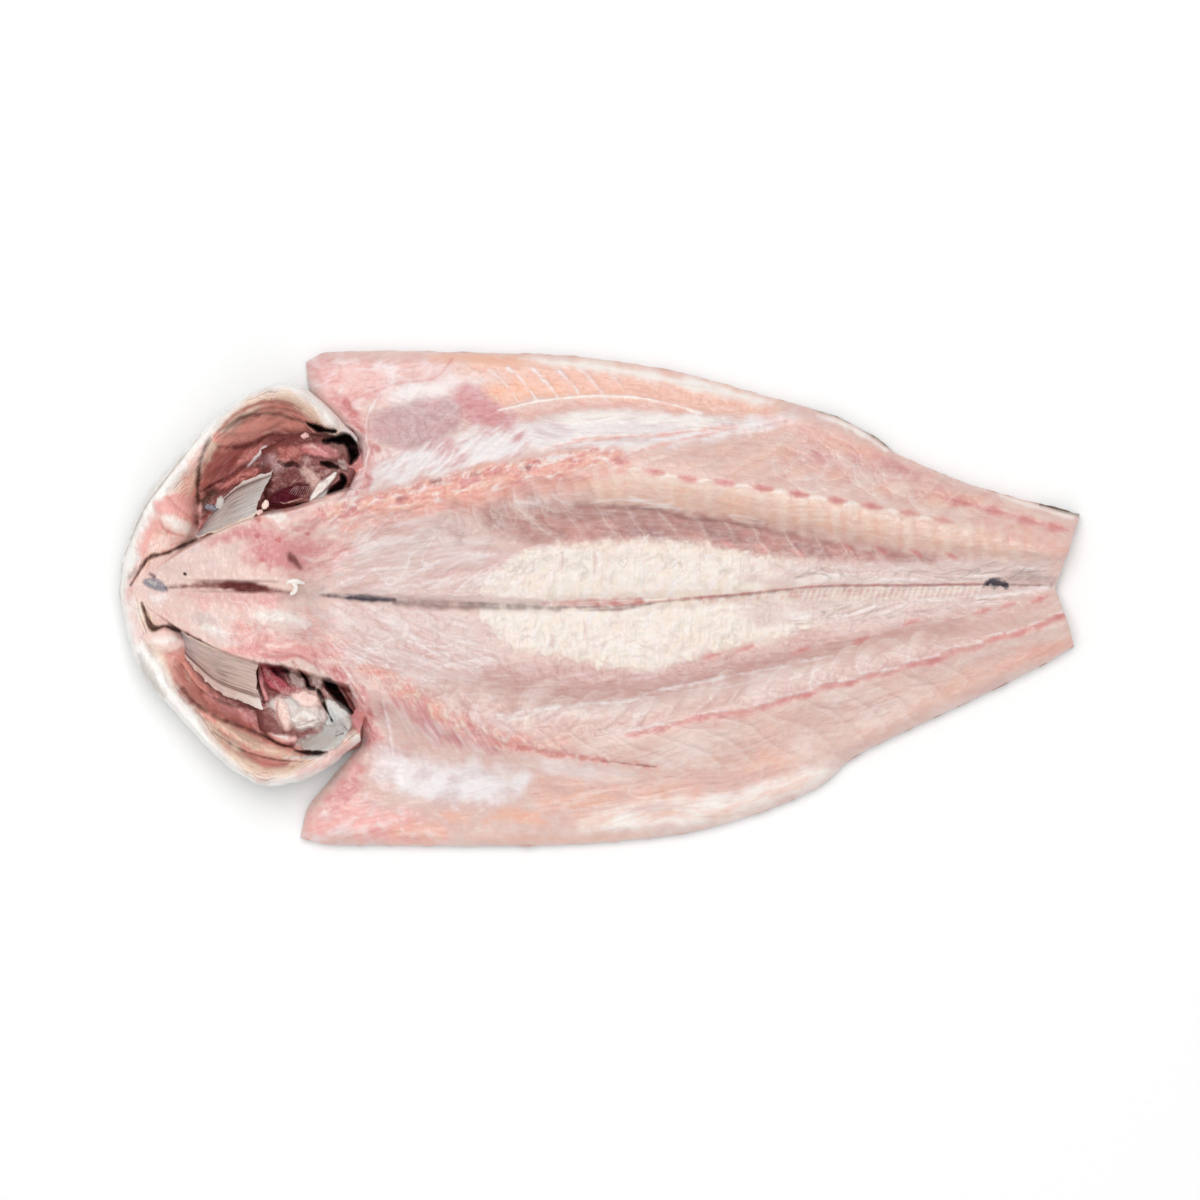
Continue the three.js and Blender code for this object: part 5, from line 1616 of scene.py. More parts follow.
# The jaws, the rims and the base of the skull
HEAD_MARKS = {
    "grey_rim_far": ("rim_grey", 0.4, 8, -0.2, ((134, 540, 2), (146, 508, 3), (162, 482, 3), (186, 455, 2))),
    "fold_far": (
        "skin", 0.6, 2.4, -0.6,
        ((127, 556, 0.5), (138, 530, 0.7), (151, 504, 0.9), (168, 482, 0.9), (204, 437, 0.5)),
    ),
    "grey_rim_near": ("rim_grey", 0.8, 8, -0.3, ((143, 656, 2), (150, 674, 6), (166, 694, 3))),
    "edge_snout": ("skin", 0.5, 3, 0, ((125, 564, 0.8), (121, 580, 1.6), (122, 600, 0.8))),
    "side_pink": ("skull_pink", 0.9, 13, 0.5, ((147, 551, 6), (156, 532, 8), (171, 513, 9))),
    "snout_pink": ("skull_pink", 0.6, 12, 0.4, ((132, 592, 4), (140, 576, 6), (148, 564, 5))),
    "snout_low": ("skull_pink", 0.4, 12, 0.3, ((130, 604, 4), (138, 620, 4), (142, 640, 4))),
    "jaw_top": ("skull_pink", 0.95, 8, 1.2, ((166, 506, 7), (184, 503, 9), (196, 511, 6))),
    "jaw_low": ("jaw", 1, 9, 0.6, ((158, 547, 6), (174, 543, 8), (192, 536, 6))),
    "jaw_white": ("jaw", 1, 7, 1.4, ((168, 520, 5), (180, 525, 9), (193, 532, 6))),
    "jaw_shine": ("cream", 0.9, 7, 0.5, ((171, 519, 2.4), (180, 525, 4.4), (189, 531, 3))),
    "jaw_crease": ("collar_red", 0.6, 3, -0.8, ((163, 520, 0.8), (168, 531, 1.4), (186, 537, 0.9))),
    "jaw_red": ("collar_red", 0.5, 4, -0.4, ((172, 498, 0.8), (184, 510, 1.4), (196, 520, 1.2))),
    "jaw_near": ("jaw", 1, 7, 1.6, ((155, 638, 7), (168, 640, 10), (180, 644, 8))),
    "jaw_near_shine": ("cream", 0.7, 6, 0.3, ((158, 640, 3), (168, 640, 4.4), (178, 638, 2.6))),
    "jaw_near_pink": ("skull_pink", 0.8, 4, -0.3, ((166, 655, 1.6), (178, 654, 3), (184, 648, 2))),
    "skull": (
        "skull", 1, 5, 0,
        ((140, 590, 5), (165, 589, 25), (200, 590, 50), (232, 588, 62), (264, 587, 74), (300, 586, 80),
         (350, 588, 92)),
    ),
    "skull_rose": ("collar_red", 0.9, 14, 0.2, ((206, 543, 2), (230, 537, 5), (254, 533, 8), (276, 538, 9))),
    "skull_mid": (
        "collar_red", 0.95, 22, 0,
        ((250, 552, 6), (276, 553, 15), (300, 556, 18), (322, 552, 14)),
    ),
    "skull_back": (
        "skull_pink", 0.9, 9, 1.5,
        ((266, 518, 5), (290, 520, 12), (325, 512, 15), (356, 502, 12)),
    ),
    "skull_side": ("skull_pink", 0.9, 9, 0.8, ((228, 650, 2), (254, 650, 6), (290, 648, 9), (330, 650, 8))),
}
SKULL_MARKS = {
    # A thin painted highlight along the skull's far edge
    "edge": ("bone", 0.8, 3, 0.3, ((200, 541, 0.8), (230, 529.5, 1.4), (256, 518, 1.2))),
    "blush": ("collar_red", 0.5, 16, 0, ((186, 595, 2), (220, 596, 4), (252, 597, 7), (284, 597, 6))),
    "slit": (
        "cavity", 0.95, 5, -0.8,
        ((168, 588, 0.8), (186, 587, 1.8), (205, 585.5, 3), (228, 585, 3.6), (248, 587, 4.8),
         (270, 589.5, 2.8), (294, 593, 0.8)),
    ),
    "slit_deep": ("dark_blood_and_shade", 0.9, 5, -0.8, ((224, 586, 1), (247, 586.5, 4.4), (268, 588.5, 1.6))),
    "slit_far": (
        "dark_streak_and_shade", 0.95, 3, -1.2,
        ((134, 585, 0.9), (144, 569, 1.5), (153, 557.5, 1.8), (168, 553.5, 1.5), (184, 546, 1.8),
         (198, 539.5, 1)),
    ),
    "slit_near": (
        "dark_streak_and_shade", 0.95, 3, -1.4,
        ((145, 603, 0.8), (149, 615, 1.6), (156, 628, 2.8), (168, 626, 2), (182, 630.5, 2),
         (200, 639, 1.2), (216, 648, 0.6)),
    ),
    "snout_smudge": ("skin", 0.5, 5, -0.3, ((132, 578, 2), (138, 572, 3))),
    "tongue_pit": ("navy", 0.8, 3, -0.8, ((153, 574, 1.4), (157, 577, 1.8))),
    "tongue": ("tongue", 0.95, 4, 0.6, ((150, 582, 3.4), (158, 585, 5.4), (166, 588, 4.4))),
    "tongue_shine": ("rim_grey", 0.7, 3, 0.2, ((152, 581, 1.2), (158, 584, 1.6))),
    "tongue_end": ("navy", 0.8, 2, -0.4, ((169, 588, 0.8), (170.5, 591, 0.8))),
    "lip": ("pearl", 0.6, 6, 0.6, ((155, 597, 3), (161, 599, 4.4), (166, 596, 2.4))),
    "hole": ("dark_blood_and_shade", 0.8, 5, -1, ((293, 555, 2.4), (298, 561, 4), (303, 567, 2))),
    "dot": ("void", 0.95, 2, -0.4, ((188, 574, 1.1), (189, 574.6, 1.1))),
    "scrap_shade": ("seam", 0.3, 12, -0.5, ((288, 598, 2), (304, 594, 4), (320, 597, 2))),
    "dimple": ("grey_flesh", 0.8, 5, -0.5, ((198, 617, 4), (206, 620, 7), (216, 622, 4))),
    "shine_near": ("cream", 0.8, 7, 0.5, ((206, 626, 2), (218, 631, 4), (231, 634, 2.4))),
    "shine_side": ("cream", 0.8, 12, 0.5, ((262, 614, 4), (282, 617, 7), (304, 622, 6))),
    "oval": ("grey_flesh", 0.4, 6, -0.3, ((276, 624, 5), (290, 629, 7), (304, 632, 5))),
    "oval_rim": ("cream", 0.7, 4, 0.4, ((268, 622, 1), (282, 614, 2), (300, 619, 1.8), (312, 632, 1))),
    "shine_back": ("cream", 0.42, 10, 0.8, ((272, 518, 4), (294, 522, 9), (316, 506, 6), (344, 499, 7))),
    "shine_lump": ("cream", 0.75, 6, 0.8, ((273, 515, 3), (281, 517, 6), (291, 519, 3))),
    "red_between": ("collar_red", 0.7, 8, -0.5, ((297, 529, 3), (308, 526, 5), (317, 531, 3))),
    "shine_spot": ("cream", 0.9, 4, 0.5, ((330, 514, 2), (334, 519, 3))),
    "red_back": ("blood", 0.55, 6, -0.6, ((312, 528, 2), (320, 522, 4), (328, 516, 2.4))),
    "fringe": ("skull_pink", 0.9, 6, 1.2, ((264, 644, 2), (280, 648, 5), (296, 646, 5), (312, 655, 3.4))),
    "fringe_shine": ("jaw", 0.8, 5, 0.4, ((268, 644, 1.4), (284, 646, 2.4), (300, 642, 2))),
    "fringe_foot": (
        "collar_red", 0.9, 3, -0.8,
        ((266, 655, 1), (282, 658.5, 2.4), (298, 655, 1.6), (318, 664, 1)),
    ),
}
SKULL_DOTS = ((258, 535), (281, 540), (267, 560), (309, 534), (323, 511), (325, 520), (260, 520))


def paint_covers(canvas, x, distance, s):
    """The streaked walls of the gill covers, and the white skin round them."""
    around = s * COVER_LENGTH
    depth = distance - along(RIM_BAND, x) + COVER_WAVER["rim"] * ripple(around, 0 * s, 20, 101)
    edge = COVER_WAVER["bands"] * ripple(around, depth * 3, 14, 102)
    ease = COVER_EASE["bands"]
    for colour, start, end in COVER_BANDS:
        band = smooth((depth + edge - start) / ease) * smooth((end - depth - edge) / ease)
        canvas.lay(colour, COVER_STRENGTH * band)
    skin_edge = depth + COVER_WAVER["skin"] * ripple(around, depth * 3, 12, 108)
    rim = smooth(0.5 - skin_edge / COVER_EASE["skin"])
    canvas.lay("rim", rim)
    canvas.lay("rim_grey", 0.2 * rim * smooth(1.3 * ripple(around, distance * 4, 22, 109)))
    wall = smooth((depth + 3) / ease) * smooth(2.4 - depth / 8)
    wander = depth + COVER_WAVER["lines"] * noise(around, depth, 38, 103)
    wander += COVER_WAVER["fine_lines"] * noise(around, depth, 13, 104)
    for number, (colour, spacing, thin, strength) in enumerate(COVER_LINES):
        phase = wander / spacing + LINE_SHIFT * number
        line = smooth(1 - np.abs(phase - np.floor(phase) - 0.5) / thin)
        broken = smooth(0.35 + PATCH_CONTRAST * ripple(around, depth * 3, 22, 105 + number))
        line *= wall * smooth((LINE_REACH - depth) / COVER_EASE["lines"]) * broken
        canvas.lay(colour, strength * line)
        canvas.lift -= LINE_SINK * line
    fibres = WALL_FIBRES["strength"] * wall * smooth((x - WALL_FIBRES["start"]) / WALL_FIBRES["run"])
    canvas.set_fibres(fibres, around / PIXEL, wander / PIXEL)


def paint_tissue(canvas):
    """The gills and throat in the two chambers."""
    chambers = ((TISSUE_FAR, "tissue_far", 32, 111), (TISSUE_NEAR, "tissue_near", -38, 113))
    for table, area, angle, seed in chambers:
        canvas.cloud("filament", area, 0.35, 7, angle, 1.8, 0.2, 0.3, 10, seed)
        canvas.dabs(table)
        canvas.cloud("dark_blood_and_shade", area, 0.15, 9, angle, 1.8, 0.15, -0.4, 10, seed + 2)
        canvas.web("dark_blood_and_shade", area, 0.3, 12, angle, 2.0, 0.07, -0.3, 10, seed + 4)
    for first, last, count, strength in GILL_COMBS:
        for share in np.linspace(0, 1, count):
            root, tip = mix(np.array(first), np.array(last), share)
            canvas.stroke("filament", ((*root, 0.25), (*tip, 0.45)), strength, 1.2, 0.3, 0.4, 4)


def paint_head(canvas, x, distance, s):
    """The whole upper side of the head, from the gill covers in to the base of the skull."""
    paint_covers(canvas, x, distance, s)
    canvas.dabs(COVER_MARKS)
    canvas.cloud("dark_blood_and_shade", "membrane_far", 0.35, 10, 42, 4.0, 0.2, -0.3, 10, 118)
    canvas.fibres("membrane_far", 0.35, 44, 10)
    canvas.cloud("dark_blood_and_shade", "rust_far", 0.55, 9, 14, 4.0, 0.3, -0.4, 10, 119)
    canvas.cloud("wall_peach", "rust_far", 0.35, 7, 14, 5.0, 0.1, 0.3, 10, 120)
    canvas.cloud("dark_streak_and_shade", "orange_near", 0.3, 6, -24, 7.0, 0.1, -0.3, 8, 129)
    paint_tissue(canvas)
    canvas.dabs(HEAD_MARKS)
    canvas.web("collar_red", "jaw_far", 0.35, 16, 55, 1.6, 0.07, -0.4, 10, 116)
    canvas.cloud("pearl", "skull_front", 0.2, 16, 14, 2.6, 0.25, 0.2, 14, 121)
    canvas.cloud("grey_flesh", "skull_front", 0.6, 18, 14, 2.0, 0.4, 0, 14, 122)
    canvas.cloud("skull_pink", "skull_near", 0.8, 24, -15, 1.8, 0.35, 0.3, 14, 123)
    canvas.cloud("cream", "skull_near", 0.35, 20, -12, 1.8, 0.3, 0.6, 14, 124)
    canvas.cloud("collar_red", "skull_rough", 0.7, 12, -12, 1.6, 0.3, -0.4, 14, 125)
    canvas.web("blood", "skull_rough", 0.3, 14, -15, 1.6, 0.06, -0.4, 14, 126)
    canvas.knobs("cream", "collar_red", "skull_knobs", 0.6, 16, 15, 1.6, 1.0, 12, 127)
    canvas.fibres("skull_rough", 0.5, -18, 14)
    canvas.dabs(SKULL_MARKS)
    canvas.web("pearl", "skull_near", 0.4, 13, -15, 2.0, 0.08, 0.3, 14, 128)
    for u, v in SKULL_DOTS:
        canvas.stroke("blood", ((u - 1.5, v, 1.2), (u + 1.5, v + 1, 1.5)), 0.8, 3.5, 2, -0.5, 7)


HEAD_PARTS = {"front": (0.004, 0.56), "back": (0.56, 1)}
HEAD_SKIN_TURN = 1.5
HEAD_WAVES = ((0.5, 7, 7), (0.25, 2.4, 8))  # height, grain and seed
RIM_WAVE = {"reach": 0.9, "grain": 16, "seeds": (151, 154)}
RIM_UNEVEN = {"height": 1.3, "grain": 17, "seed": 157}
NECK_MEET = {"start": -142, "run": 28, "sink": 0.12}
HEAD_FLOOR = 1.5
HEAD_OVERLAP = 0.1


def make_head(far, part, sizes, palette, material):
    """A part of one half of the split head: gill cover, chamber, jaw and skull's base in a closed shell."""
    name = f"head_{'far' if far else 'near'}_{part}"
    mesh = grid_slab(name, sizes.head_along, sizes.head_across, dense_base=True, sharp_walls=True)
    s, t, low = slab_shares(mesh)
    s = mix(*HEAD_PARTS[part], s)
    x, y = head_plan(far, s, t).T
    distance = head_gap(x, y)
    rim_share = smooth(1 - distance / RIM_WALL)
    reach = RIM_WAVE["reach"] * rim_share
    wave_x, wave_y = (reach * ripple(x, y, RIM_WAVE["grain"], seed) for seed in RIM_WAVE["seeds"])
    x, y = x + wave_x, y + wave_y
    canvas = Canvas(x, y, palette, "cavity")
    paint_head(canvas, x, distance, s)
    uneven = waves(HEAD_WAVES, x, y)
    uneven += RIM_UNEVEN["height"] * rim_share * noise(x, y, RIM_UNEVEN["grain"], RIM_UNEVEN["seed"])
    top = head_top(x, y, distance) + (canvas.lift + uneven) * smooth(distance / RIM_INSET) + HEAD_OVERLAP
    meet_neck(canvas, x, y, top, distance)
    canvas.lay("skin_silver", low * smooth(distance / HEAD_SKIN_TURN))
    under = along(HEAD_EDGE_HEIGHT, x) * (1 - rounded(distance, HEAD_UNDERCUT))
    base = np.maximum(under - HEAD_OVERLAP, 0)
    set_points(mesh, x, y, np.where(low, base, np.maximum(top, base + HEAD_FLOOR)))
    add_piece(name, mesh, canvas, material, "fish")


def meet_neck(canvas, x, y, top, distance):
    """Turns the back of the skull's paint and height into those of the flesh behind it."""
    skull = skull_share(x, y)
    ragged = NECK_BLEND["ragged"] * ripple(x / 2, y, NECK_BLEND["grain"], NECK_BLEND["seed"])
    blend = skull * smooth((canvas.u + ragged - NECK_BLEND["start"]) / NECK_BLEND["run"])
    meet = skull * smooth((x - NECK_MEET["start"]) / NECK_MEET["run"])
    where = np.nonzero(blend + meet > 0)[0]
    if not where.size:
        return
    x, y, share = x[where], y[where], blend[where]
    neck = Canvas(x, y, canvas.palette, "flesh")
    paint_flesh(neck)
    canvas.tone[where] = mix(canvas.tone[where], neck.tone, share[:, None])
    for mark in MARKS:
        canvas.marks[mark][where] = np.where(share > 0.5, neck.marks[mark], canvas.marks[mark][where])
    flesh = flesh_height(x, y, distance[where] + FLAP_INSET) + neck.lift + waves(FLESH_WAVES, x, y)
    top[where] = mix(top[where], flesh - NECK_MEET["sink"], meet[where])


# Plates, gills, beads and the scrap of the head

# Each plate: edges beside the skull and the gill cover as (u, v, z), end, share of pale rim, pale tint
PLATES = {
    "plate_far": (
        ((198, 539, 21), (230, 529, 25), (258, 516, 27)), ((206, 522, 13), (238, 487, 15), (277, 471, 18)),
        (264, 494, 23), 0.07, "throat_grey",
    ),
    "plate_near": (
        ((184, 632, 21), (226, 650, 25), (262, 660, 26)), ((187, 659, 14), (220, 691, 13), (264, 708, 16)),
        (259, 684, 20), 0.2, "plate_rim",
    ),
}
PLATE_THICKNESS = 1.4
PLATE_ARCH = 2.0
PLATE_FRAY = {"reach": 0.7, "grain": 5}
PLATE_STRIPES = {"along": 26, "across": 420, "grain": 12, "height": 0.12}
STRIPE_BEND = {"reach": 4, "fineness": 20, "grain": 9}
PLATE_EDGE = 0.1  # share of the thickness left at the rim
PLATE_RIM = {"waver": 0.03, "ease": 0.06}  # shares of the way across a plate
PLATE_LIP = {"width": 0.06, "ease": 0.04}
PLATE_STEPS = (120, 80)

# Each sheet of gills and throat: edges beside the skull and the cover, front and back ends, as (u, v)
SHEETS = {
    "gills_far": (
        ((264, 513), (300, 512), (330, 503), (354, 486)), ((262, 450), (290, 438), (322, 428), (354, 430)),
        (266, 482), (362, 458),
    ),
    "gills_near": (
        ((258, 656), (296, 656), (330, 672), (358, 708)), ((260, 728), (285, 748), (322, 760), (362, 746)),
        (254, 692), (364, 728),
    ),
}
SHEET_STEPS = (240, 220)
SHEET_HEIGHT = {"base": 9, "top": 16, "least": 0.2, "rim": 0.05, "run": 4}
SHEET_WAVES = ((0.4, 6, 138), (0.2, 2, 139))  # height, grain and seed

# Each bead of bone or fat: place (u, v, z), half sizes, turn, colour
BEADS = {
    "bead_chamber": ((307, 437, 23), (1.7, 1.4, 1.3), 20, "collar"),
    "bead_plate": ((268.5, 506, 30), (1.3, 2.2, 1.2), -30, "jaw"),
    "bead_tip": ((263, 513, 29), (1.5, 1.1, 1), 40, "jaw"),
    "bead_belly": ((740, 428, 15), (1.2, 1.4, 1.1), 0, "throat"),
    "bead_lump": ((222, 503, 18), (1.7, 3, 1), -15, "rim_grey"),
    "bead_lump_low": ((214, 508, 17), (3.2, 1.5, 1), -20, "tongue"),
}
BEAD_SWELL = {"reach": 0.4, "fineness": 1.3}
BEAD_CREASE = {"reach": 0.3, "fineness": 3}
BEAD_SHIFT = 10  # sets the beads' noise apart by their places
BALL_STEPS = 4


def in_frame(u, v, z=0.0):
    """A point of the photograph at a height, in the frame's millimetres."""
    return np.array([(u - PHOTO_ORIGIN[0]) * PIXEL, (PHOTO_ORIGIN[1] - v) * PIXEL, z])


def framed(points):
    return path([in_frame(*point) for point in points], EDGE_STEPS)


def plate_stripes(s, t):
    """Waves that run along a plate and bend a little."""
    fineness = STRIPE_BEND["fineness"]
    bend = STRIPE_BEND["reach"] * noise(s * fineness, t * fineness, STRIPE_BEND["grain"], 135)
    return ripple(s * PLATE_STRIPES["along"] + bend, t * PLATE_STRIPES["across"], PLATE_STRIPES["grain"], 131)


def paint_plate(canvas, s, t, stripe, rim, pale):
    """Stripes along a plate, its grey front end, its pale rim and the lip beside the skull."""
    canvas.lay(pale, 0.6 * smooth(2 * s - 0.7))
    canvas.lay("dark_streak_and_shade", 0.45 * smooth(1.6 * stripe) * smooth(3 * s))
    canvas.lay("plate_rim", 0.4 * smooth(-1.5 * stripe) * smooth(3 * s))
    canvas.lay("tongue", 0.7 * smooth(1 - 3 * s))
    canvas.lay(pale, 0.4 * smooth(0.3 + ripple(s * 40, t * 40, 22, 136)))
    past = (t - 1 + rim + PLATE_RIM["waver"] * stripe) / PLATE_RIM["ease"]
    canvas.lay("dark_streak_and_shade", 0.6 * smooth(1.5 - np.abs(past + 0.6)))
    canvas.lay("cream", 0.7 * smooth(past + 0.5))
    canvas.lay(pale, 0.8 * smooth(past + 0.5) * smooth(0.3 + ripple(s * 60, t * 20, 9, 137)))
    canvas.lay("wall_peach", 0.6 * smooth((PLATE_LIP["width"] - t) / PLATE_LIP["ease"] + 0.5))


def make_plates(palette, material):
    """The striped plates beside the skull."""
    for name, (inner, outer, end, rim, pale) in PLATES.items():
        mesh = grid_slab(name, *PLATE_STEPS, dense_base=True)
        s, t, low = slab_shares(mesh)
        front = (inner[0], np.add(inner[0], outer[0]) / 2, outer[0])
        edges = [framed(line) for line in (inner, outer, front, (inner[-1], end, outer[-1]))]
        x, y, z = blend_edges(*edges, s, t).T
        frayed = smooth(np.abs(2 * t - 1) * 4 - 3) + smooth(np.abs(2 * s - 1) * 6 - 5)
        x = x + PLATE_FRAY["reach"] * frayed * ripple(x, y, PLATE_FRAY["grain"], 133)
        y = y + PLATE_FRAY["reach"] * frayed * ripple(x, y, PLATE_FRAY["grain"], 134)
        stripe = plate_stripes(s, t)
        arch = PLATE_ARCH * np.sin(np.pi * t) * np.sin(np.pi * np.clip(s, 0, 1)) ** 0.5
        z = z + arch + PLATE_STRIPES["height"] * stripe
        z = z - low * PLATE_THICKNESS * (PLATE_EDGE + np.sin(np.pi * t) ** 0.5 * np.sin(np.pi * s) ** 0.5)
        canvas = Canvas(x, y, palette, "plate")
        paint_plate(canvas, s, t, stripe, rim, pale)
        set_points(mesh, x, y, z)
        add_piece(name, mesh, canvas, material, "fish")


def make_sheets(palette, material):
    """The gills and throat of each chamber: one sheet of folded tissue on the chamber's floor."""
    for node, (inner, outer, front, back) in SHEETS.items():
        mesh = grid_slab(node, *SHEET_STEPS)
        s, t, low = slab_shares(mesh)
        ends = ((inner[at], middle, outer[at]) for at, middle in ((0, front), (-1, back)))
        edges = [framed(line) for line in (inner, outer, *ends)]
        x, y, _ = blend_edges(*edges, s, t).T
        canvas = Canvas(x, y, palette, "cavity")
        paint_tissue(canvas)
        inward = rounded(np.min([gap(edge[:, :2], x, y) for edge in edges], axis=0), SHEET_HEIGHT["run"])
        uneven = waves(SHEET_WAVES, x, y)
        base = SHEET_HEIGHT["base"]
        rise = np.maximum(SHEET_HEIGHT["top"] - base + canvas.lift + uneven, SHEET_HEIGHT["least"])
        top = base + rise * mix(SHEET_HEIGHT["rim"], 1, inward)
        set_points(mesh, x, y, np.where(low, base, top))
        add_piece(f"{node}_tissue", mesh, canvas, material, node)


def make_beads(palette, material):
    """Small uneven beads of bone and fat."""
    for name, (place, radii, turn, colour) in BEADS.items():
        bm = bmesh.new()
        bmesh.ops.create_icosphere(bm, subdivisions=BALL_STEPS, radius=1)
        shift = Vector(place) / BEAD_SHIFT
        for vert in bm.verts:
            swell = BEAD_SWELL["reach"] * solid_noise.noise(vert.co * BEAD_SWELL["fineness"] + shift)
            crease = BEAD_CREASE["reach"] * abs(solid_noise.noise(vert.co * BEAD_CREASE["fineness"] + shift))
            vert.co *= 1 + swell - crease
        shape = Matrix.Translation(in_frame(*place)) @ Matrix.Rotation(math.radians(turn), 4, "Z")
        shape = Matrix.Scale(MM, 4) @ shape @ Matrix.Diagonal((*radii, 1))
        bmesh.ops.transform(bm, matrix=shape, verts=bm.verts)
        bmesh.ops.recalc_face_normals(bm, faces=bm.faces)
        mesh = mesh_from(bm, name)
        add_piece(name, mesh, canvas_over(mesh, palette, colour), material, "fish")


def tubes(name, lines):
    """Closed tapered tubes along lines of (x, y, z, radius) in millimetres."""
    data = bpy.data.curves.new(name, "CURVE")
    data.dimensions = "3D"
    data.bevel_depth = MM
    data.bevel_resolution = 1
    data.use_fill_caps = True
    for line in lines:
        spline = data.splines.new("POLY")
        spline.points.add(len(line) - 1)
        for point, (x, y, z, radius) in zip(spline.points, line):
            point.co = (x * MM, y * MM, z * MM, 1)
            point.radius = radius
    holder = bpy.data.objects.new(name, data)
    mesh = bpy.data.meshes.new_from_object(holder)
    bpy.data.objects.remove(holder)
    bpy.data.curves.remove(data)
    mesh.name = name
    face_out(mesh)
    return mesh


# The scrap's bar and its bent stem, as lines of (u, v, z, radius)
SCRAP = (
    ((287, 585, 29.4, 0.5), (292, 582, 29.8, 1.0), (299, 581.5, 29, 1.4), (306.5, 583.5, 26.6, 0.7)),
    ((295.5, 583, 30, 0.9), (298.5, 587, 28.8, 1.3), (297, 592, 28.3, 1.2), (291, 595.5, 28, 0.6)),
)
SCRAP_STEPS = 14


def make_scrap(palette, material):
    """The white hooked scrap at the back of the skull."""
    lines = ([(*in_frame(u, v, z), radius) for u, v, z, radius in line] for line in SCRAP)
    mesh = tubes("scrap", [path(line, SCRAP_STEPS) for line in lines])
    add_piece("scrap", mesh, canvas_over(mesh, palette, "cream"), material, "fish")


# The eyes

EYES = {"eye_far": ((-168.5, 68.5, 7), 45), "eye_near": ((-167, -60.5, 7), -45)}
EYE_TILT = 125
EYE_FLATNESS = 0.55
IRIS = {"edge": 0.92, "ease": 0.1}  # shares of the eye's half width
PUPIL = {"edge": 0.5, "ease": 0.06}


def make_eyes(sizes, palette, material):
    """Eyes on the outer sides of the head, under the rim."""
    radius = sizes.eye_radius / MM
    for name, (place, turn) in EYES.items():
        bm = bmesh.new()
        bmesh.ops.create_icosphere(bm, subdivisions=BALL_STEPS, radius=radius)
        out = np.array([vert.co.to_2d().length for vert in bm.verts]) / radius
        spin = Matrix.Rotation(math.radians(turn + 90), 4, "Z")
        spin = spin @ Matrix.Rotation(math.radians(EYE_TILT), 4, "X")
        shape = Matrix.Translation(place) @ spin @ Matrix.Diagonal((1, 1, EYE_FLATNESS, 1))
        bmesh.ops.transform(bm, matrix=Matrix.Scale(MM, 4) @ shape, verts=bm.verts)
        mesh = mesh_from(bm, name)
        canvas = canvas_over(mesh, palette, "rim_grey")
        for colour, ring in (("iris", IRIS), ("void", PUPIL)):
            canvas.lay(colour, smooth((ring["edge"] - out) / ring["ease"]))
        add_piece(name, mesh, canvas, material, "fish")


# The stage

LIGHT_SIZE = 1.6
KEY_PLACE = (-0.2, 0.6, 2.3)
FILL_PLACE = (0.3, -1.4, 1.8)
FLOOR_REACH = 4
FLOOR_STEPS = 8


def make_floor(stage):
    bm = bmesh.new()
    bmesh.ops.create_grid(bm, x_segments=FLOOR_STEPS, y_segments=FLOOR_STEPS, size=FLOOR_REACH)
    mesh = mesh_from(bm, "floor")
    g = Graph("floor_paper")
    grain = g.noise(40, 2)
    mesh.materials.append(g.finish(opaque(stage.floor_colour), 0.7 + 0.1 * grain, grain, 0.02, 0.001, {}))
    floor = bpy.data.objects.new("floor", mesh)
    bpy.context.scene.collection.objects.link(floor)


def add_light(name, place, energy):
    lamp = bpy.data.lights.new(name, "AREA")
    lamp.energy = energy
    lamp.size = LIGHT_SIZE
    light = bpy.data.objects.new(name, lamp)
    light.location = place
    light.rotation_euler = (-Vector(place)).to_track_quat("-Z", "Y").to_euler()
    bpy.context.scene.collection.objects.link(light)


def set_sky(strength):
    world = bpy.data.worlds.new("studio")
    world.use_nodes = True
    sky = world.node_tree.nodes["Background"].inputs
    sky["Color"].default_value = (1, 1, 1, 1)
    sky["Strength"].default_value = strength
    bpy.context.scene.world = world


def add_camera(height):
    """A camera that looks straight down on the photograph's field."""
    lens = bpy.data.cameras.new("camera")
    field = PHOTO_WIDTH * PIXEL * MM
    lens.lens = lens.sensor_width * height / field
    camera = bpy.data.objects.new("camera", lens)
    x, y, _ = in_frame(*PHOTO_MIDDLE) * MM
    camera.location = (x, y, height)
    bpy.context.scene.collection.objects.link(camera)
    bpy.context.scene.camera = camera


# Operators


class MeagreOperator(bpy.types.Operator):
    """Shared look-up of the fish's settings."""

    bl_options = {"REGISTER", "UNDO"}

    def settings(self, context):
        scene = context.scene
        return scene.meagre_sizes, scene.meagre_colours


class MEAGRE_OT_stage(MeagreOperator):
    """Add the floor, lights and camera"""

    bl_idname = "meagre.stage"
    bl_label = "Stage"

    def execute(self, context):
        stage = context.scene.meagre_stage
        make_floor(stage)
        add_light("key", KEY_PLACE, stage.key_power)
        add_light("fill", FILL_PLACE, stage.fill_power)
        set_sky(stage.sky)
        add_camera(stage.camera_height)
        context.scene.view_settings.view_transform = "Standard"
        return {"FINISHED"}


class MEAGRE_OT_flesh(MeagreOperator):
    """Add the two halves of flesh"""

    bl_idname = "meagre.flesh"
    bl_label = "Flesh"

    def execute(self, context):
        sizes, palette = self.settings(context)
        material = flesh_material(palette)
        for far, part in itertools.product((True, False), FLESH_PARTS):
            make_flesh(far, part, sizes, palette, material)
        return {"FINISHED"}


class MEAGRE_OT_skin(MeagreOperator):
    """Add the skin under the flesh"""

    bl_idname = "meagre.skin"
    bl_label = "Skin"

    def execute(self, context):
        sizes, palette = self.settings(context)
        make_skin(sizes, palette, skin_material(palette))
        return {"FINISHED"}


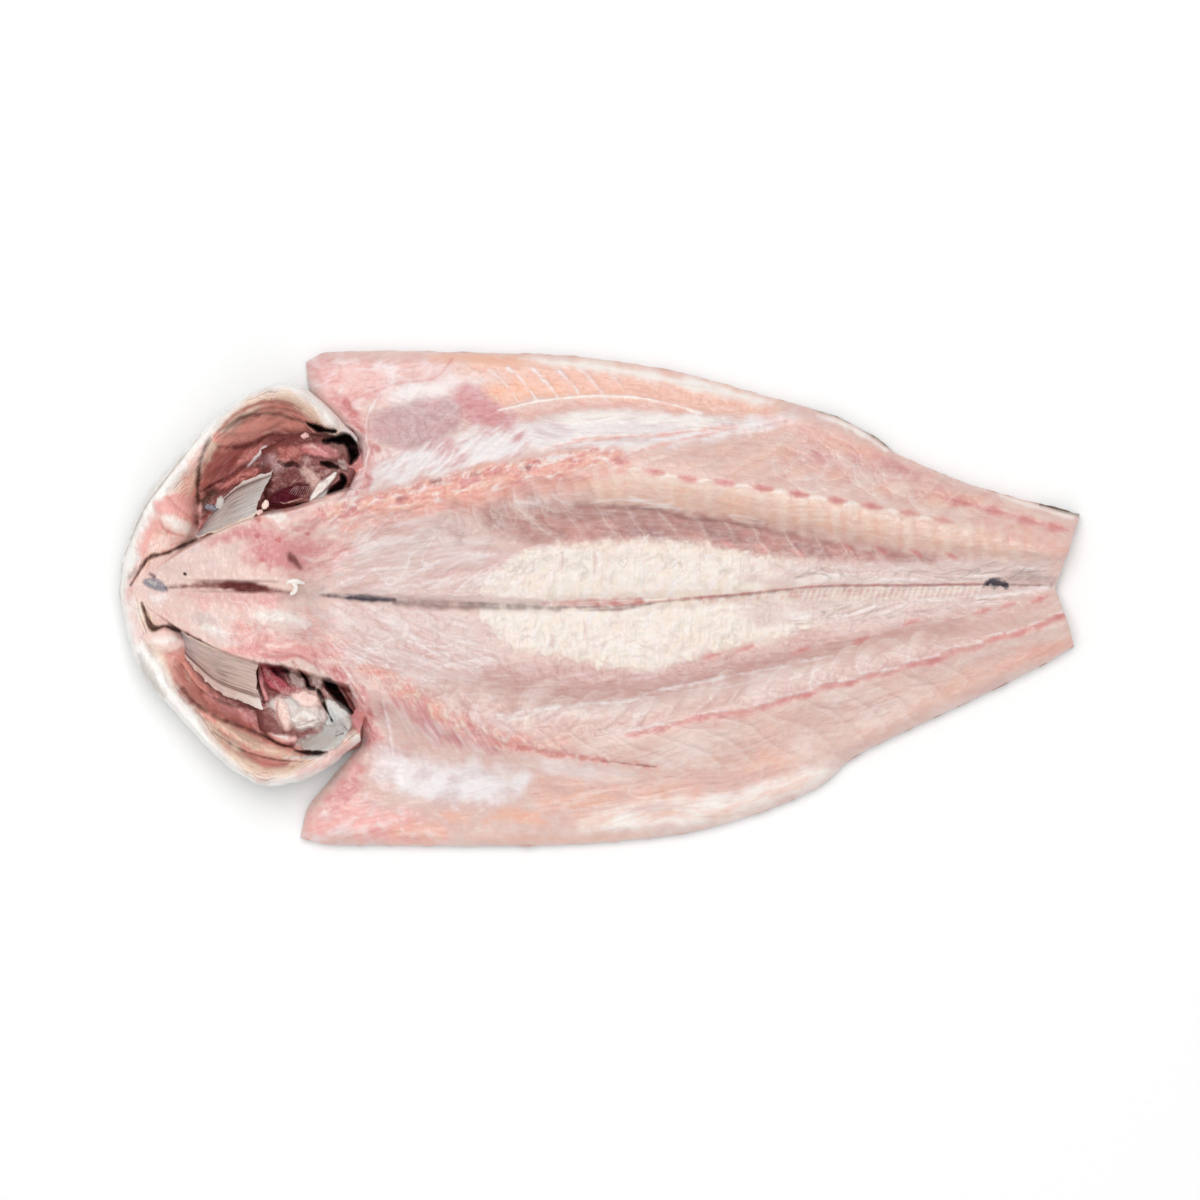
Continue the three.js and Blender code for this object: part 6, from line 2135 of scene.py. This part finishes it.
class MEAGRE_OT_head(MeagreOperator):
    """Add the split head"""

    bl_idname = "meagre.head"
    bl_label = "Head"

    def execute(self, context):
        sizes, palette = self.settings(context)
        material = flesh_material(palette)
        for far, part in itertools.product((True, False), HEAD_PARTS):
            make_head(far, part, sizes, palette, material)
        return {"FINISHED"}


class MEAGRE_OT_gills(MeagreOperator):
    """Add the plates, gills, beads, scrap and eyes of the head"""

    bl_idname = "meagre.gills"
    bl_label = "Gills"

    def execute(self, context):
        sizes, palette = self.settings(context)
        material = tissue_material(palette)
        make_plates(palette, material)
        make_sheets(palette, material)
        make_beads(palette, material)
        make_scrap(palette, material)
        make_eyes(sizes, palette, material)
        return {"FINISHED"}


OPERATORS = (MEAGRE_OT_stage, MEAGRE_OT_flesh, MEAGRE_OT_skin, MEAGRE_OT_head, MEAGRE_OT_gills)


class MEAGRE_PT_panel(bpy.types.Panel):
    """Buttons for each group of pieces, and the settings"""

    bl_idname = "MEAGRE_PT_panel"
    bl_label = "Butterflied Meagre"
    bl_space_type = "VIEW_3D"
    bl_region_type = "UI"
    bl_category = "Meagre"

    def draw(self, context):
        layout = self.layout
        for operator in OPERATORS:
            layout.operator(operator.bl_idname)
        for group in (context.scene.meagre_sizes, context.scene.meagre_stage, context.scene.meagre_colours):
            box = layout.box()
            for name in group.__annotations__:
                box.prop(group, name)


GROUPS = {"meagre_colours": MeagreColours, "meagre_sizes": MeagreSizes, "meagre_stage": MeagreStage}


def register():
    for name, group in GROUPS.items():
        bpy.utils.register_class(group)
        setattr(bpy.types.Scene, name, PointerProperty(type=group))
    for cls in (*OPERATORS, MEAGRE_PT_panel):
        bpy.utils.register_class(cls)


def unregister():
    for cls in (MEAGRE_PT_panel, *reversed(OPERATORS)):
        bpy.utils.unregister_class(cls)
    for name, group in reversed(GROUPS.items()):
        delattr(bpy.types.Scene, name)
        bpy.utils.unregister_class(group)


def main():
    register()
    bpy.ops.meagre.stage()
    bpy.ops.meagre.flesh()
    bpy.ops.meagre.skin()
    bpy.ops.meagre.head()
    bpy.ops.meagre.gills()
    bpy.context.view_layer.update()


if __name__ == "__main__":
    main()
